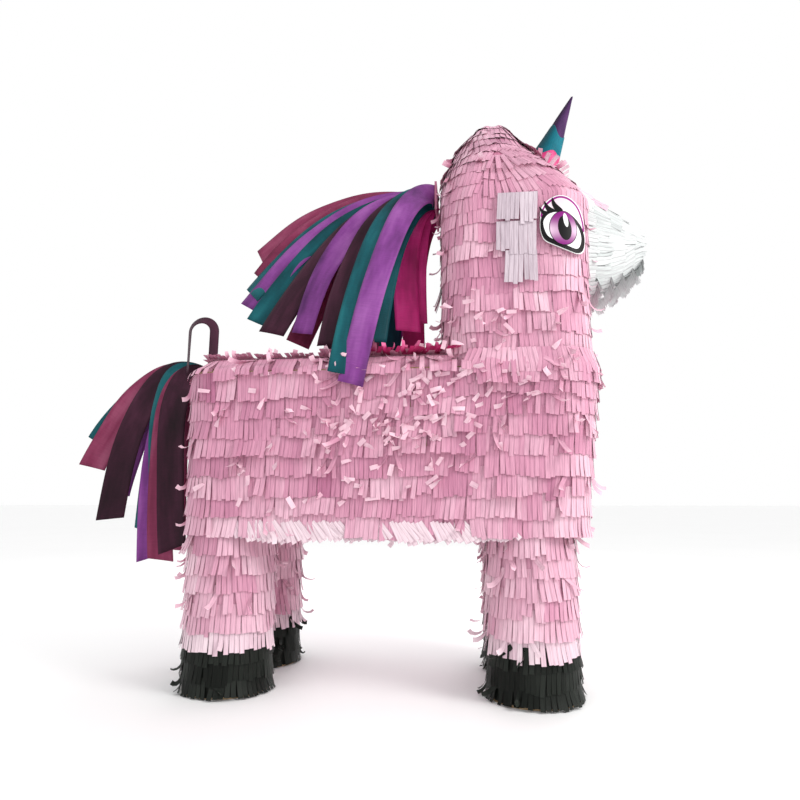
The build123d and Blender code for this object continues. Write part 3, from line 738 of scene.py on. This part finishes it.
shoulder = Fringe()
EDGE_ROW = [(TORSO_TOP - 0.2, TORSO_FOLD * 1.35)]
body_rows(shoulder, TORSO, EDGE_ROW, STRAND, clear_of_neck, overlap=1.25, lean=11, wild=2.2, tint=0.5)
COLLAR_OUT = 1.6                # how far the collar's rows stand out from the torso's card
COLLAR_FORM = (NECK_BACK - 3.0, TORSO_FRONT + COLLAR_OUT, TORSO_HALF + COLLAR_OUT, 32.0)
COLLAR = [
    (TORSO_EDGE - 30, *COLLAR_FORM),
    (TORSO_EDGE + 2, *COLLAR_FORM),
    (TORSO_TOP + 6, NECK_BACK, NECK_FRONT + 1.2, NECK_HALF + 1.2, NECK_CORNER),
]
for top in (TORSO_TOP + 3, TORSO_EDGE + 8):
    body_rows(shoulder, COLLAR, [(top, 16.0)], STRAND, beside_neck, overlap=1.4, lean=2.5, tint=0.5)
shoulder.build("shoulder_tissue", PINK, ["shoulder_fringe"], "tissue_pink")

# the back: rows run from the rump to the neck, with strands out to each side
back, nape = Fringe(), Fringe()
BACK_ROW = 16.8
for side in (-1, 1):
    for number in range(4):
        end = NECK_BACK + (22 if number == 3 else -3)
        along = np.arange(TORSO_BACK + TORSO_FOLD + 2, end, STRAND)
        roots = points_at(along, side * BACK_ROW * number, TORSO_TOP + 0.3)
        lines = lines_flat(roots, (0, side, 0), (0, 0, 1), 40)
        add_row(back, lines, BACK_ROW, STRAND, lean=9, wild=1.6, tint=0.5)
for side in (-1, 1):
    for reach in (38.0, 52.0, 64.0):
        along = np.arange(22, NECK_BACK + 10, STRAND)
        roots = points_at(along, side * reach, TORSO_TOP + 2.6)
        lines = lines_flat(roots, unit(np.array([0.35, side, 0.0])), (0, 0, 1), 30)
        add_row(nape, lines, 14.0, STRAND, lean=9, wild=2.5, tint=0.45, under=False)
nape.build("nape_tissue", HOT, ["back_fringe"], "tissue_pink", held="laid")
back.build("back_tissue", PINK, ["back_fringe"], "tissue_pink", held="laid")

# the belly: rows cross it, with strands forward, and pale fans hang along both edges
belly = Fringe()
belly_low, belly_high = LEGS["rear_right"][0] + LEG_R + 2, LEGS["front_right"][0] - LEG_R - 3
belly_x = np.linspace(belly_low, belly_high - 20, 10)
belly_pitch = belly_x[1] - belly_x[0]
for x in belly_x:
    roots = points_at(x, np.arange(-TORSO_HALF + 4, TORSO_HALF - 3, STRAND), TORSO_LOW - 0.6)
    lines = lines_flat(roots, (1.0, 0.0, -0.03), (-0.03, 0.0, -1.0), 44)
    add_row(belly, lines, belly_pitch, STRAND, lean=4, wild=0.8, tint=0.6)
IN_FAN, FAN_APART = 5, 11.5
for side in (-1, 1):
    for x in np.arange(belly_low - 26, belly_high + 8, FAN_APART):
        along = x + 3.3 * np.arange(IN_FAN) + rng.normal(0, 0.8)
        stand = side * (TORSO_HALF - 1.0 + rng.uniform(0, 2.5))
        roots = points_at(along, stand, TORSO_LOW + 5.0 + rng.uniform(-1, 1, IN_FAN))
        way = np.radians(rng.uniform(18, 34) + 16 * np.linspace(0, 1, IN_FAN) - 90)
        lines = lines_flat(roots, *standing(side, way, 0.08), 34)
        add_row(belly, lines, 12.0, FINE_STRAND, lean=4, tint=0.75, stiff=True, under=False, spread=1.15)
belly.build("belly_tissue", PALE, ["belly_fringe"], "tissue_pink", held="laid")


# ------------ rows of the neck and head
def all_round(points):
    return np.ones(len(points), bool)


neck = Fringe()
body_rows(neck, NECK, even(TORSO_EDGE + 5, HEAD_LOW, 4), STRAND, all_round, tint=0.5)
neck.build("neck_tissue", PINK, ["neck_fringe"], "tissue_pink", rests_on="neck_shell")


def off_muzzle(points):
    """Not where the muzzle stands, nor where the horn does."""
    x, y, z = points.T
    low, high, half, corner = between(MUZZLE, x)
    inside = (x > MUZZLE_BACK) & (np.abs(y) < half - 4) & (z > low + 6) & (z < high - 2)
    horn = np.hypot(x - HORN_ROOT[0] - (z - HORN_ROOT[2]) * math.tan(math.radians(HORN_TILT)), y) < 18
    return ~inside & ~(horn & (z > 465))


DEEP_HEAD = [(TORSO_LOW, *NECK_FORM), *HEAD, (549.8, 146.0, 149.5, 1.4, 0.7)]
LAST_HEAD_ROW = 541.0
head, crown = Fringe(), Fringe()
head_rows = along_slope(DEEP_HEAD, HEAD_LOW, LAST_HEAD_ROW)
body_rows(head, DEEP_HEAD, head_rows, STRAND, off_muzzle, tint=0.5, wild=0.8, lean=2.4)
head.build("head_tissue", PINK, ["head_fringe"], "tissue_pink", rests_on="head_shell")

for top, step in ((547.5, 3.0), (549.5, 3.6)):
    spot, wide = spots_round(DEEP_HEAD, LAST_HEAD_ROW, step)
    lines = lines_on(DEEP_HEAD, top, 26.0, spot)
    add_row(crown, lines, 11.0, wide, overlap=1.6, lean=1.2, wild=0.0, tint=0.5)
crown.build("crown_tissue", PINK, ["crown_patch"], "tissue_pink", rests_on="head_shell")

# ------------ muzzle, cheeks
muzzle, brow = Fringe(), Fringe()
MUZZLE_TIP = (294.0, 396.0, 412.0, 24.0, 8.0)
muzzle_form = [*MUZZLE, MUZZLE_TIP]
for start, pitch in ((216.0, 15.0), (230.0, 15.0), (244.0, 15.0), (257.0, 14.0), (269.0, 13.0)):
    spot, wide = spots_round(muzzle_form, start, STRAND)
    lines = lines_on(muzzle_form, start, pitch * REACH, spot, forward=True)
    x, y, z = lines[0][:, 0].T
    on_brow = (z > between(MUZZLE, x)[1] - 14) & (x < 236)
    add_row(muzzle, picked(lines, ~on_brow), pitch, wide, lean=3.5, wild=0.25, tint=0.55)
    if on_brow.any():
        add_row(brow, picked(lines, on_brow), pitch, wide, lean=3.5, wild=0.6, tint=0.7)
muzzle.build("muzzle_tissue", WHITE, ["muzzle_fringe"], "tissue_white", rests_on="muzzle_shell")
brow.build("brow_tissue", PINK, ["muzzle_fringe"], "tissue_pink", rests_on="muzzle_shell")

nose = Fringe()
for z in (420.0, 411.0, 402.0, 393.0):
    roots = points_at(MUZZLE_END + 0.8, np.arange(-25, 26, 3.8), z)
    add_row(nose, lines_flat(roots, (0, 0, -1), (1, 0, 0), 30), 10.5, 3.8, lean=5, wild=0.6, tint=0.6)
chin_down = unit(np.array([0.25, 0.0, -1.0]))
chin_normal = (-chin_down[2], 0.0, chin_down[0])
for x in (222.0, 236.0, 250.0, 262.0, 273.0):
    low, high, half, corner = between(MUZZLE, x)
    across = np.arange(-half + 8, half - 7, FINE_STRAND)
    drop = ease(np.abs(across), half - corner, half)
    roots = points_at(x, across, low + corner * (1 - np.sqrt(1 - drop**2)))
    lines = lines_flat(roots, chin_down, chin_normal, 36)
    add_row(nose, lines, 8.5, FINE_STRAND, lean=4, wild=0.9, tint=0.95)
nose.build("nose_tissue", WHITE, ["nose_fringe"], "tissue_white", rests_on="muzzle_shell")

# Each row of a cheek patch, from the lowest: how far it is shifted, and its width.
CHEEK_ROWS = ((2.5, 29.0), (-2.5, 34.0), (0.0, 35.0))
for name, side in (("right", -1), ("left", 1)):
    cheek = Fringe()
    for top, (shift, width) in zip(CHEEK_TOPS[::-1], CHEEK_ROWS):
        along = CHEEK_X + shift + np.arange(-width / 2 + 2, width / 2, FINE_STRAND)
        lines = lines_flat(points_at(along, side * (FACE_Y - 0.7), top), (0, 0, -1), (0, side, 0), 44)
        add_row(cheek, lines, 24.0, FINE_STRAND, overlap=1.2, lean=1.6, wild=0.0, stiff=True, under=False)
    cheek.build(f"cheek_{name}_tissue", CHEEK, [f"cheek_{name}"], "tissue_white", rests_on="head_shell")


# ------------ legs
def leg_rows(x, y, tops):
    """Rows round a leg: whether a row is the lowest, its lines, its pitch and its strands' width."""
    # a rounded square whose corners meet, so it's round
    form = [(z, x - LEG_R, x + LEG_R, LEG_R, LEG_R - 0.01) for z in (-60.0, 200.0)]
    for number, (top, pitch) in enumerate(tops, 1):
        spot, wide = spots_round(form, top, STRAND)
        points, *ways = lines_on(form, top, pitch * REACH, spot)
        yield number == len(tops), (points + [0, y, 0], *ways), pitch, wide


def on_floor(fringe):
    """Strands that would pass through the floor lie along it."""
    for strips, *_ in fringe.batches:
        strips[..., 2] = np.maximum(strips[..., 2], 0.4 + 1.2 * rng.random(strips.shape[:1])[:, None, None])


for leg, (x, y) in LEGS.items():
    upper, foot, cuff = Fringe(), Fringe(), Fringe()
    for lowest, *row in leg_rows(x, y, even(HOOF_TOP, TORSO_LOW, 6)):
        add_row(cuff if lowest else upper, *row, lean=6.5, wild=1.2, tint=0.5)
    for lowest, *row in leg_rows(x, y, even(HOOF_LOW, HOOF_TOP + 3, 3)):
        overlap, lean, wild = (1.12, 9, 4.0) if lowest else (1.3, 5, 0.5)
        add_row(foot, *row, overlap=overlap, lean=lean, wild=wild, tint=0.4)
    on_floor(foot)
    upper.build(f"{leg}_leg_tissue", PINK, [f"{leg}_leg_fringe"], "tissue_pink", rests_on=f"{leg}_leg")
    cuff.build(f"{leg}_cuff_tissue", PALE, [f"{leg}_leg_fringe"], "tissue_pink", rests_on=f"{leg}_leg")
    foot.build(f"{leg}_hoof_tissue", BLACK, [f"{leg}_hoof_fringe"], "tissue_black", rests_on=f"{leg}_leg")


# ------------ ribbons
PAPER_TINT = 0.5


def sheet_grid(name, points, thickness, material, fibre_width, fibre_length, tint=PAPER_TINT):
    """One sheet of paper as a grid of points (along, across, 3), in millimetres, with a real thickness."""
    rows, wide, _ = points.shape
    quads = grid_quads(np.arange(rows * wide).reshape(rows, wide))
    across, along = np.meshgrid(np.linspace(0, 1, wide), np.linspace(0, 1, rows))
    uv = np.stack([0.02 + 0.96 * across, 0.02 + 0.96 * along], -1).reshape(-1, 2)
    made = quad_mesh(name, points.reshape(-1, 3) * MM, quads, uv, material)
    seed = rng.random() * 900
    put(made.data, "fibre", points_at(across * fibre_width + seed, along * fibre_length + seed, seed))
    put(made.data, "tint", tint + 0 * along)
    put(made.data, "curl", 0 * along)
    put(made.data, "edge", 0 * along)
    solid = made.modifiers.new("paper", "SOLIDIFY")
    solid.thickness = thickness * MM
    solid.offset = 0.0
    return made


def ribbon(name, root, bend, tip, width, side, material):
    """A crepe ribbon along a quadratic curve, a little waved, cupped and twisted, with a slanted end."""
    root, bend, tip = (np.array(p, float) for p in (root, bend, tip))
    t = np.linspace(0, 1, 56)[:, None]
    tip = tip + [rng.uniform(-4, 4), 0.0, rng.uniform(-4, 4)]
    bend = bend + [rng.uniform(-7, 7), 0.0, rng.uniform(-9, 3)]
    line = root * (1 - t) ** 2 + bend * (2 * t * (1 - t)) + tip * t**2
    heading = unit((bend - root) * (1 - t) + (tip - bend) * t)
    across = unit(np.cross(heading, [0.0, side, 0.0]))
    face = np.cross(across, heading)
    waves = rng.uniform(1.5, 3.0)
    phase = rng.uniform(0, 2 * math.pi)
    wave = np.sin(waves * 2 * math.pi * t + phase) * 1.3 * t
    twist = np.radians(rng.uniform(-16, 16)) * t**2 + np.radians(6) * np.sin(5 * t + phase) * t
    turned = across * np.cos(twist) + face * np.sin(twist)
    proud = face * np.cos(twist) - across * np.sin(twist)
    u = np.linspace(-0.5, 0.5, 9)
    cup = rng.uniform(-1.6, 1.6) * (0.4 + 0.6 * t)
    slant = rng.uniform(-7, 7) * ease(t, 0.9, 1.0)
    points = (
        (line + face * wave)[:, None]
        + turned[:, None] * (width * u)[None, :, None]
        + proud[:, None] * ((1 - 4 * u**2) * cup)[..., None]
        + heading[:, None] * (slant * u)[..., None]
    )
    length = float(np.linalg.norm(np.diff(line, axis=0), axis=1).sum())
    return sheet_grid(name, points, 0.25, material, width, length + 1.0), length


def bundle(name, table, root):
    """All the ribbons of the mane or the tail, each a sheet of its own."""
    for index, (colour, width, tip, bend) in enumerate(table):
        across = (index - (len(table) - 1) / 2) * ROOT_STEP
        side = -1 if tip[1] < 0 else 1
        label = f"{name}_ribbon_{index + 1:02d}"
        made, length = ribbon(label, (root[0], across, root[1]), bend, tip, width, side, CREPES[colour])
        belongs(made, "body", [f"{name}_{colour}"])


bundle("mane", MANE, MANE_ROOT)
bundle("tail", TAIL, TAIL_ROOT)

LOOP_WIDTH, LOOP_X, LOOP_R, LOOP_Y, LOOP_LOW, LOOP_TURN = 9.0, -149.0, 12.5, -27.0, 288.0, 331.0
angle = np.linspace(0, math.pi, 30)
arch = np.stack([LOOP_X + LOOP_R * np.cos(angle), LOOP_TURN + LOOP_R * np.sin(angle)], 1)
rise = np.linspace(LOOP_LOW, LOOP_TURN, 12, endpoint=False)
front = np.stack([np.full(12, LOOP_X + LOOP_R), rise], 1)
rear = np.stack([np.full(12, LOOP_X - LOOP_R), rise[::-1]], 1)
path = np.concatenate([front, arch, rear])
share = np.linspace(0, 1, len(path))[:, None]
u = np.linspace(-0.5, 0.5, 7) * LOOP_WIDTH
heading = unit(np.gradient(path, axis=0))
turned = np.radians(50 + 12 * np.sin(5 * share))
loop = points_at(
    path[:, :1] + heading[:, 1:] * np.sin(turned) * u,
    LOOP_Y + np.cos(turned) * u + 1.5 * np.sin(4 * share),
    path[:, 1:] - heading[:, :1] * np.sin(turned) * u,
)
loop_length = float(np.linalg.norm(np.diff(path, axis=0), axis=1).sum())
made = sheet_grid("tail_loop_ribbon", loop, 0.4, CREPES["wine"], LOOP_WIDTH, loop_length)
belongs(made, "body", ["tail_loop"])

# ------------ horn
tilt = math.radians(HORN_TILT)
AXIS = np.array([math.sin(tilt), 0.0, math.cos(tilt)])
AHEAD = np.array([math.cos(tilt), 0.0, -math.sin(tilt)])
ASIDE = np.array([0.0, 1.0, 0.0])
SLOPE = HORN_R / HORN_LENGTH


def crumple(a, b, scale, seed):
    """Smooth uneven numbers about 0 over two directions, for creased paper."""
    found = np.zeros_like(a)
    maker = np.random.default_rng(seed)
    for _ in range(7):
        fa, fb, phase = maker.uniform(0.6, 3.2), maker.uniform(0.02, 0.16), maker.uniform(0, 6.3)
        found += np.sin(np.round(fa) * a + fb * b + phase)
    return np.tanh(found * 0.6) * scale


def wrap(name, low, high, proud, material, node, seed, flare=0.0):
    """Paper wound round the horn between two edges, each a function of the turn, with painted shade on its
    rear side.
    """
    a, s = np.meshgrid(np.linspace(0, 2 * math.pi, 85), np.linspace(0, 1, 34))
    height = low(a) + (high(a) - low(a)) * s
    radius = np.maximum((HORN_LENGTH - height) * SLOPE + proud, 0.4)
    radius = radius + crumple(a, height, 0.32, seed) + flare * (1 - s) ** 2 * (1 + 0.5 * np.sin(5 * a + seed))
    points = (
        np.array(HORN_ROOT)
        + AXIS * height[..., None]
        + AHEAD * (radius * np.cos(a))[..., None]
        + ASIDE * (radius * np.sin(a))[..., None]
    )
    # The tint is painted shade: the paper darkens to near black on the side turned to the rear, away from the
    # key light, with a little uneven tone on its lit side.
    shade = np.clip(0.5 + 0.55 * (np.cos(a - 0.5) + 0.35), 0, 0.62 + 0.2 * np.sin(3 * a + height * 0.2))
    made = sheet_grid(name, points, 0.3, material, HORN_R * 6, HORN_LENGTH, shade)
    belongs(made, "body", [node])


wrap(
    "horn_teal_paper", lambda a: 24 + 0 * a, lambda a: HORN_SPLIT + 6 * np.cos(a - 2.6) + 3 * np.cos(3 * a),
    1.15, TEAL, "horn_teal_wrap", 3,
)
wrap(
    "horn_purple_paper", lambda a: HORN_SPLIT - 12 + 0 * a, lambda a: HORN_LENGTH - 0.8 + 0 * a,
    0.6, VIOLET, "horn_purple_wrap", 5,
)
wrap(
    "horn_foot_paper", lambda a: 18 + 2 * np.cos(3 * a),
    lambda a: 35 + 3.5 * np.cos(2 * a + 1.0) + 2 * np.cos(5 * a),
    1.9, HOT, "horn_ruffle", 9, flare=3.0,
)
collar = Fringe()
turn = np.linspace(0, 2 * math.pi, 22, endpoint=False)
spread = AHEAD * np.cos(turn)[:, None] + ASIDE * np.sin(turn)[:, None]
roots = np.array(HORN_ROOT) + AXIS * 17.0 + spread * (HORN_R + 3.0)
upward = unit(AXIS * 0.8 + spread * 0.28)
lines = lines_flat(roots, upward, square_to(spread, upward), 24)
add_row(collar, lines, 11.0, 4.6, overlap=1.0, lean=14, wild=2.0, tint=0.7, under=False)
collar.build("horn_collar_tissue", PALE, ["horn_ruffle"], "tissue_pink", rests_on="head_shell")


# ------------ eyes
def closed_curve(corners, steps=10):
    """A smooth closed outline through a few points."""
    corners = np.array(corners, float)
    found = []
    for n in range(len(corners)):
        a, b, c, d = (corners[(n + k - 1) % len(corners)] for k in range(4))
        t = np.linspace(0, 1, steps, endpoint=False)[:, None]
        found.append(
            0.5 * (2 * b + (c - a) * t + (2 * a - 5 * b + 4 * c - d) * t**2 + (3 * b - a - 3 * c + d) * t**3)
        )
    return np.concatenate(found)


def oval(x, z, wide, high, lean=0.0, steps=44):
    turn = np.linspace(0, 2 * math.pi, steps, endpoint=False)
    u, v = wide * np.cos(turn), high * np.sin(turn)
    cos, sin = math.cos(math.radians(lean)), math.sin(math.radians(lean))
    return np.stack([x + u * cos + v * sin, z - u * sin + v * cos], 1)


EYE_STAND = FACE_Y - NECK_HALF      # from the head's card out to the back of the eye


def eye_place(x, z, lift, side):
    """A point of the eye's card, which bends round the front corner of the face."""
    low, high, half, corner = between(HEAD, z)
    past = max(0.0, x - (high - corner))
    reach = corner + EYE_STAND + lift
    y = half - corner + math.sqrt(max(reach**2 - past**2, 1.0))
    return x * MM, side * y * MM, z * MM


RINGS = np.linspace(1.0, 0.08, 12)


def eye(name, side, layers, materials):
    """A printed eye: thin shapes, one on another, on a card."""
    work = bmesh.new()
    glow = work.verts.layers.float.new("glow")
    for outline, lift, thick, ink in layers:
        middle = outline.mean(0)
        tall = max(1e-6, np.ptp(outline[:, 1]) / 2)
        rings = []
        for size, rise in [(r, 0.0) for r in RINGS[::-1]] + [(r, thick) for r in RINGS]:
            ring = []
            for p in middle + (outline - middle) * size:
                vert = work.verts.new(eye_place(EYE_X + p[0], EYE_Z + p[1], lift + rise, side))
                height = (p[1] - middle[1]) / tall
                vert[glow] = float(np.exp(-((height + 0.1) ** 2) * 5.0)) * (0.35 + 0.65 * size)
                ring.append(vert)
            rings.append(ring)
        count = len(outline)
        for near, far in zip(rings, rings[1:]):
            for n in range(count):
                m = (n + 1) % count
                work.faces.new((near[n], near[m], far[m], far[n])).material_index = ink
        for ring in (rings[0][::-1], rings[-1]):
            work.faces.new(ring).material_index = ink
    bmesh.ops.recalc_face_normals(work, faces=work.faces)
    data = bpy.data.meshes.new(name)
    work.to_mesh(data)
    work.free()
    for material in materials:
        data.materials.append(material)
    made = bpy.data.objects.new(name, data)
    bpy.context.scene.collection.objects.link(made)
    belongs(made, "body", [f"eye_{'right' if side < 0 else 'left'}"])


INKS = [
    printed("white print", (0.86, 0.87, 0.86)),
    printed("black print", (0.006, 0.005, 0.006)),
    printed("magenta print", (0.30, 0.012, 0.22)),
    printed("iris print", (0.24, 0.008, 0.20), (0.74, 0.52, 0.68)),
    printed("lid print", (0.84, 0.66, 0.74), (0.88, 0.87, 0.86)),
]
LID = closed_curve([
    (-18.6, 6), (-17.2, 14), (-11.6, 21.2), (-3, 25.2), (6.4, 23.4), (14, 16.6), (18.2, 6),
    (19.4, -5), (14, 0), (4, 9), (-8, 9),
])
LID_IN = closed_curve([
    (-17, 8), (-15.6, 14), (-10.4, 19.6), (-2.8, 23.4), (5.6, 21.6), (12.6, 15.4), (16.6, 5.4),
    (17.6, -3), (13, 1), (4, 10), (-8, 10),
])
BALL = closed_curve([
    (-19.2, 3), (-16, 9.6), (-7, 12.8), (2, 10.8), (10, 6.2), (17, -2), (19.6, -12),
    (17.6, -22.4), (12, -26.4), (2.6, -24.2), (-8.6, -19.4), (-16.4, -14.4), (-19.4, -6),
])
WHITE_OF = closed_curve([
    (-16.8, 2.4), (-13, 8), (-7, 10.2), (1.2, 8.4), (8.4, 3.8), (14.2, -4), (16.2, -12.4),
    (14.4, -19.8), (10.6, -22.6), (3, -20.4), (-7, -15.8), (-13.4, -11.4), (-16.4, -4.6),
])
LASHES = [
    closed_curve([(-15.4, 7), (-18.6, 10.6), (-20.2, 16), (-16.6, 12.6), (-12, 10)], 6),
    closed_curve([(-11.6, 9.4), (-14.8, 14.5), (-15.6, 21), (-11.6, 16), (-6.6, 11.8)], 6),
    closed_curve([(-5, 10.4), (-8.8, 17), (-8.6, 24), (-5.2, 18), (0.2, 12)], 6),
]
CARD_EDGE = closed_curve([
    (-19.6, 4), (-18.6, 14), (-12.2, 22), (-3, 26), (6.8, 24.2), (14.8, 17), (19, 6),
    (20.2, -10), (18.4, -22.8), (12.4, -27), (2.4, -24.8), (-9, -19.9), (-17, -14.8), (-20, -5),
])
LAYERS = [
    (CARD_EDGE, 0.0, 0.45, 0),
    (LID, 0.45, 0.10, 2),
    (LID_IN, 0.55, 0.10, 4),
    (BALL, 0.65, 0.10, 1),
    (WHITE_OF, 0.75, 0.10, 0),
    (oval(0.2, -4.6, 12.4, 15.8, -4), 0.85, 0.09, 1),
    (oval(0.2, -4.6, 11.8, 15.2, -4), 0.94, 0.09, 3),
    (oval(1.4, -4.6, 5.9, 11.2, -6), 1.03, 0.09, 1),
    (oval(2.4, 2.6, 2.0, 6.4, -9), 1.12, 0.09, 0),
    *[(lash, 0.75, 0.12, 1) for lash in LASHES],
]
for name, side in (("right", -1), ("left", 1)):
    eye(f"printed_eye_{name}", side, LAYERS, INKS)

# ------------ card pieces that show
for name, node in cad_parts.items():
    if not node.hide_render:
        node.data.materials.clear()
        node.data.materials.append(PINK_CARD if name.endswith("_pad") or name == "head_shell" else CARD)


# ------------ floor, lights, camera
def lamp(name, place, target, size, power, colour):
    light = bpy.data.lights.new(name, "AREA")
    light.shape = "DISK"
    light.size = size
    light.energy = power
    light.color = colour
    made = bpy.data.objects.new(name, light)
    made.location = place
    way = np.array(target, float) - np.array(place, float)
    flat = math.hypot(way[0], way[1])
    made.rotation_euler = (math.atan2(flat, -way[2]), 0.0, math.atan2(-way[0], way[1]))
    bpy.context.scene.collection.objects.link(made)


bpy.ops.mesh.primitive_grid_add(x_subdivisions=8, y_subdivisions=8, size=40.0)
floor = bpy.context.object
floor.name = "floor"
floor.data.materials.append(plain("floor", (0.95, 0.95, 0.95), 0.7))

world = bpy.data.worlds.new("studio")
world.use_nodes = True
world.node_tree.nodes["Background"].inputs["Color"].default_value = (1.0, 1.0, 1.0, 1.0)
world.node_tree.nodes["Background"].inputs["Strength"].default_value = 1.0
bpy.context.scene.world = world
lamp("key", (1.15, -0.60, 0.95), (0.05, 0.0, 0.28), 0.6, 11.0, (1.0, 0.99, 0.97))
lamp("back", (-0.1, 1.2, 0.35), (0.0, 0.0, 0.12), 0.8, 3.0, (1.0, 1.0, 1.0))
lamp("rim", (0.7, 1.1, 0.7), (0.0, 0.0, 0.2), 0.8, 3.0, (1.0, 1.0, 1.0))

camera = bpy.data.cameras.new("camera")
camera.sensor_width = 36.0
camera.lens = 28.2
eye_point = bpy.data.objects.new("camera", camera)
eye_point.location = (0.114, -0.617, 0.163)
eye_point.rotation_euler = (math.radians(99.1), 0.0, math.radians(6.0))
bpy.context.scene.collection.objects.link(eye_point)
bpy.context.scene.camera = eye_point
bpy.context.scene.view_settings.view_transform = "Standard"
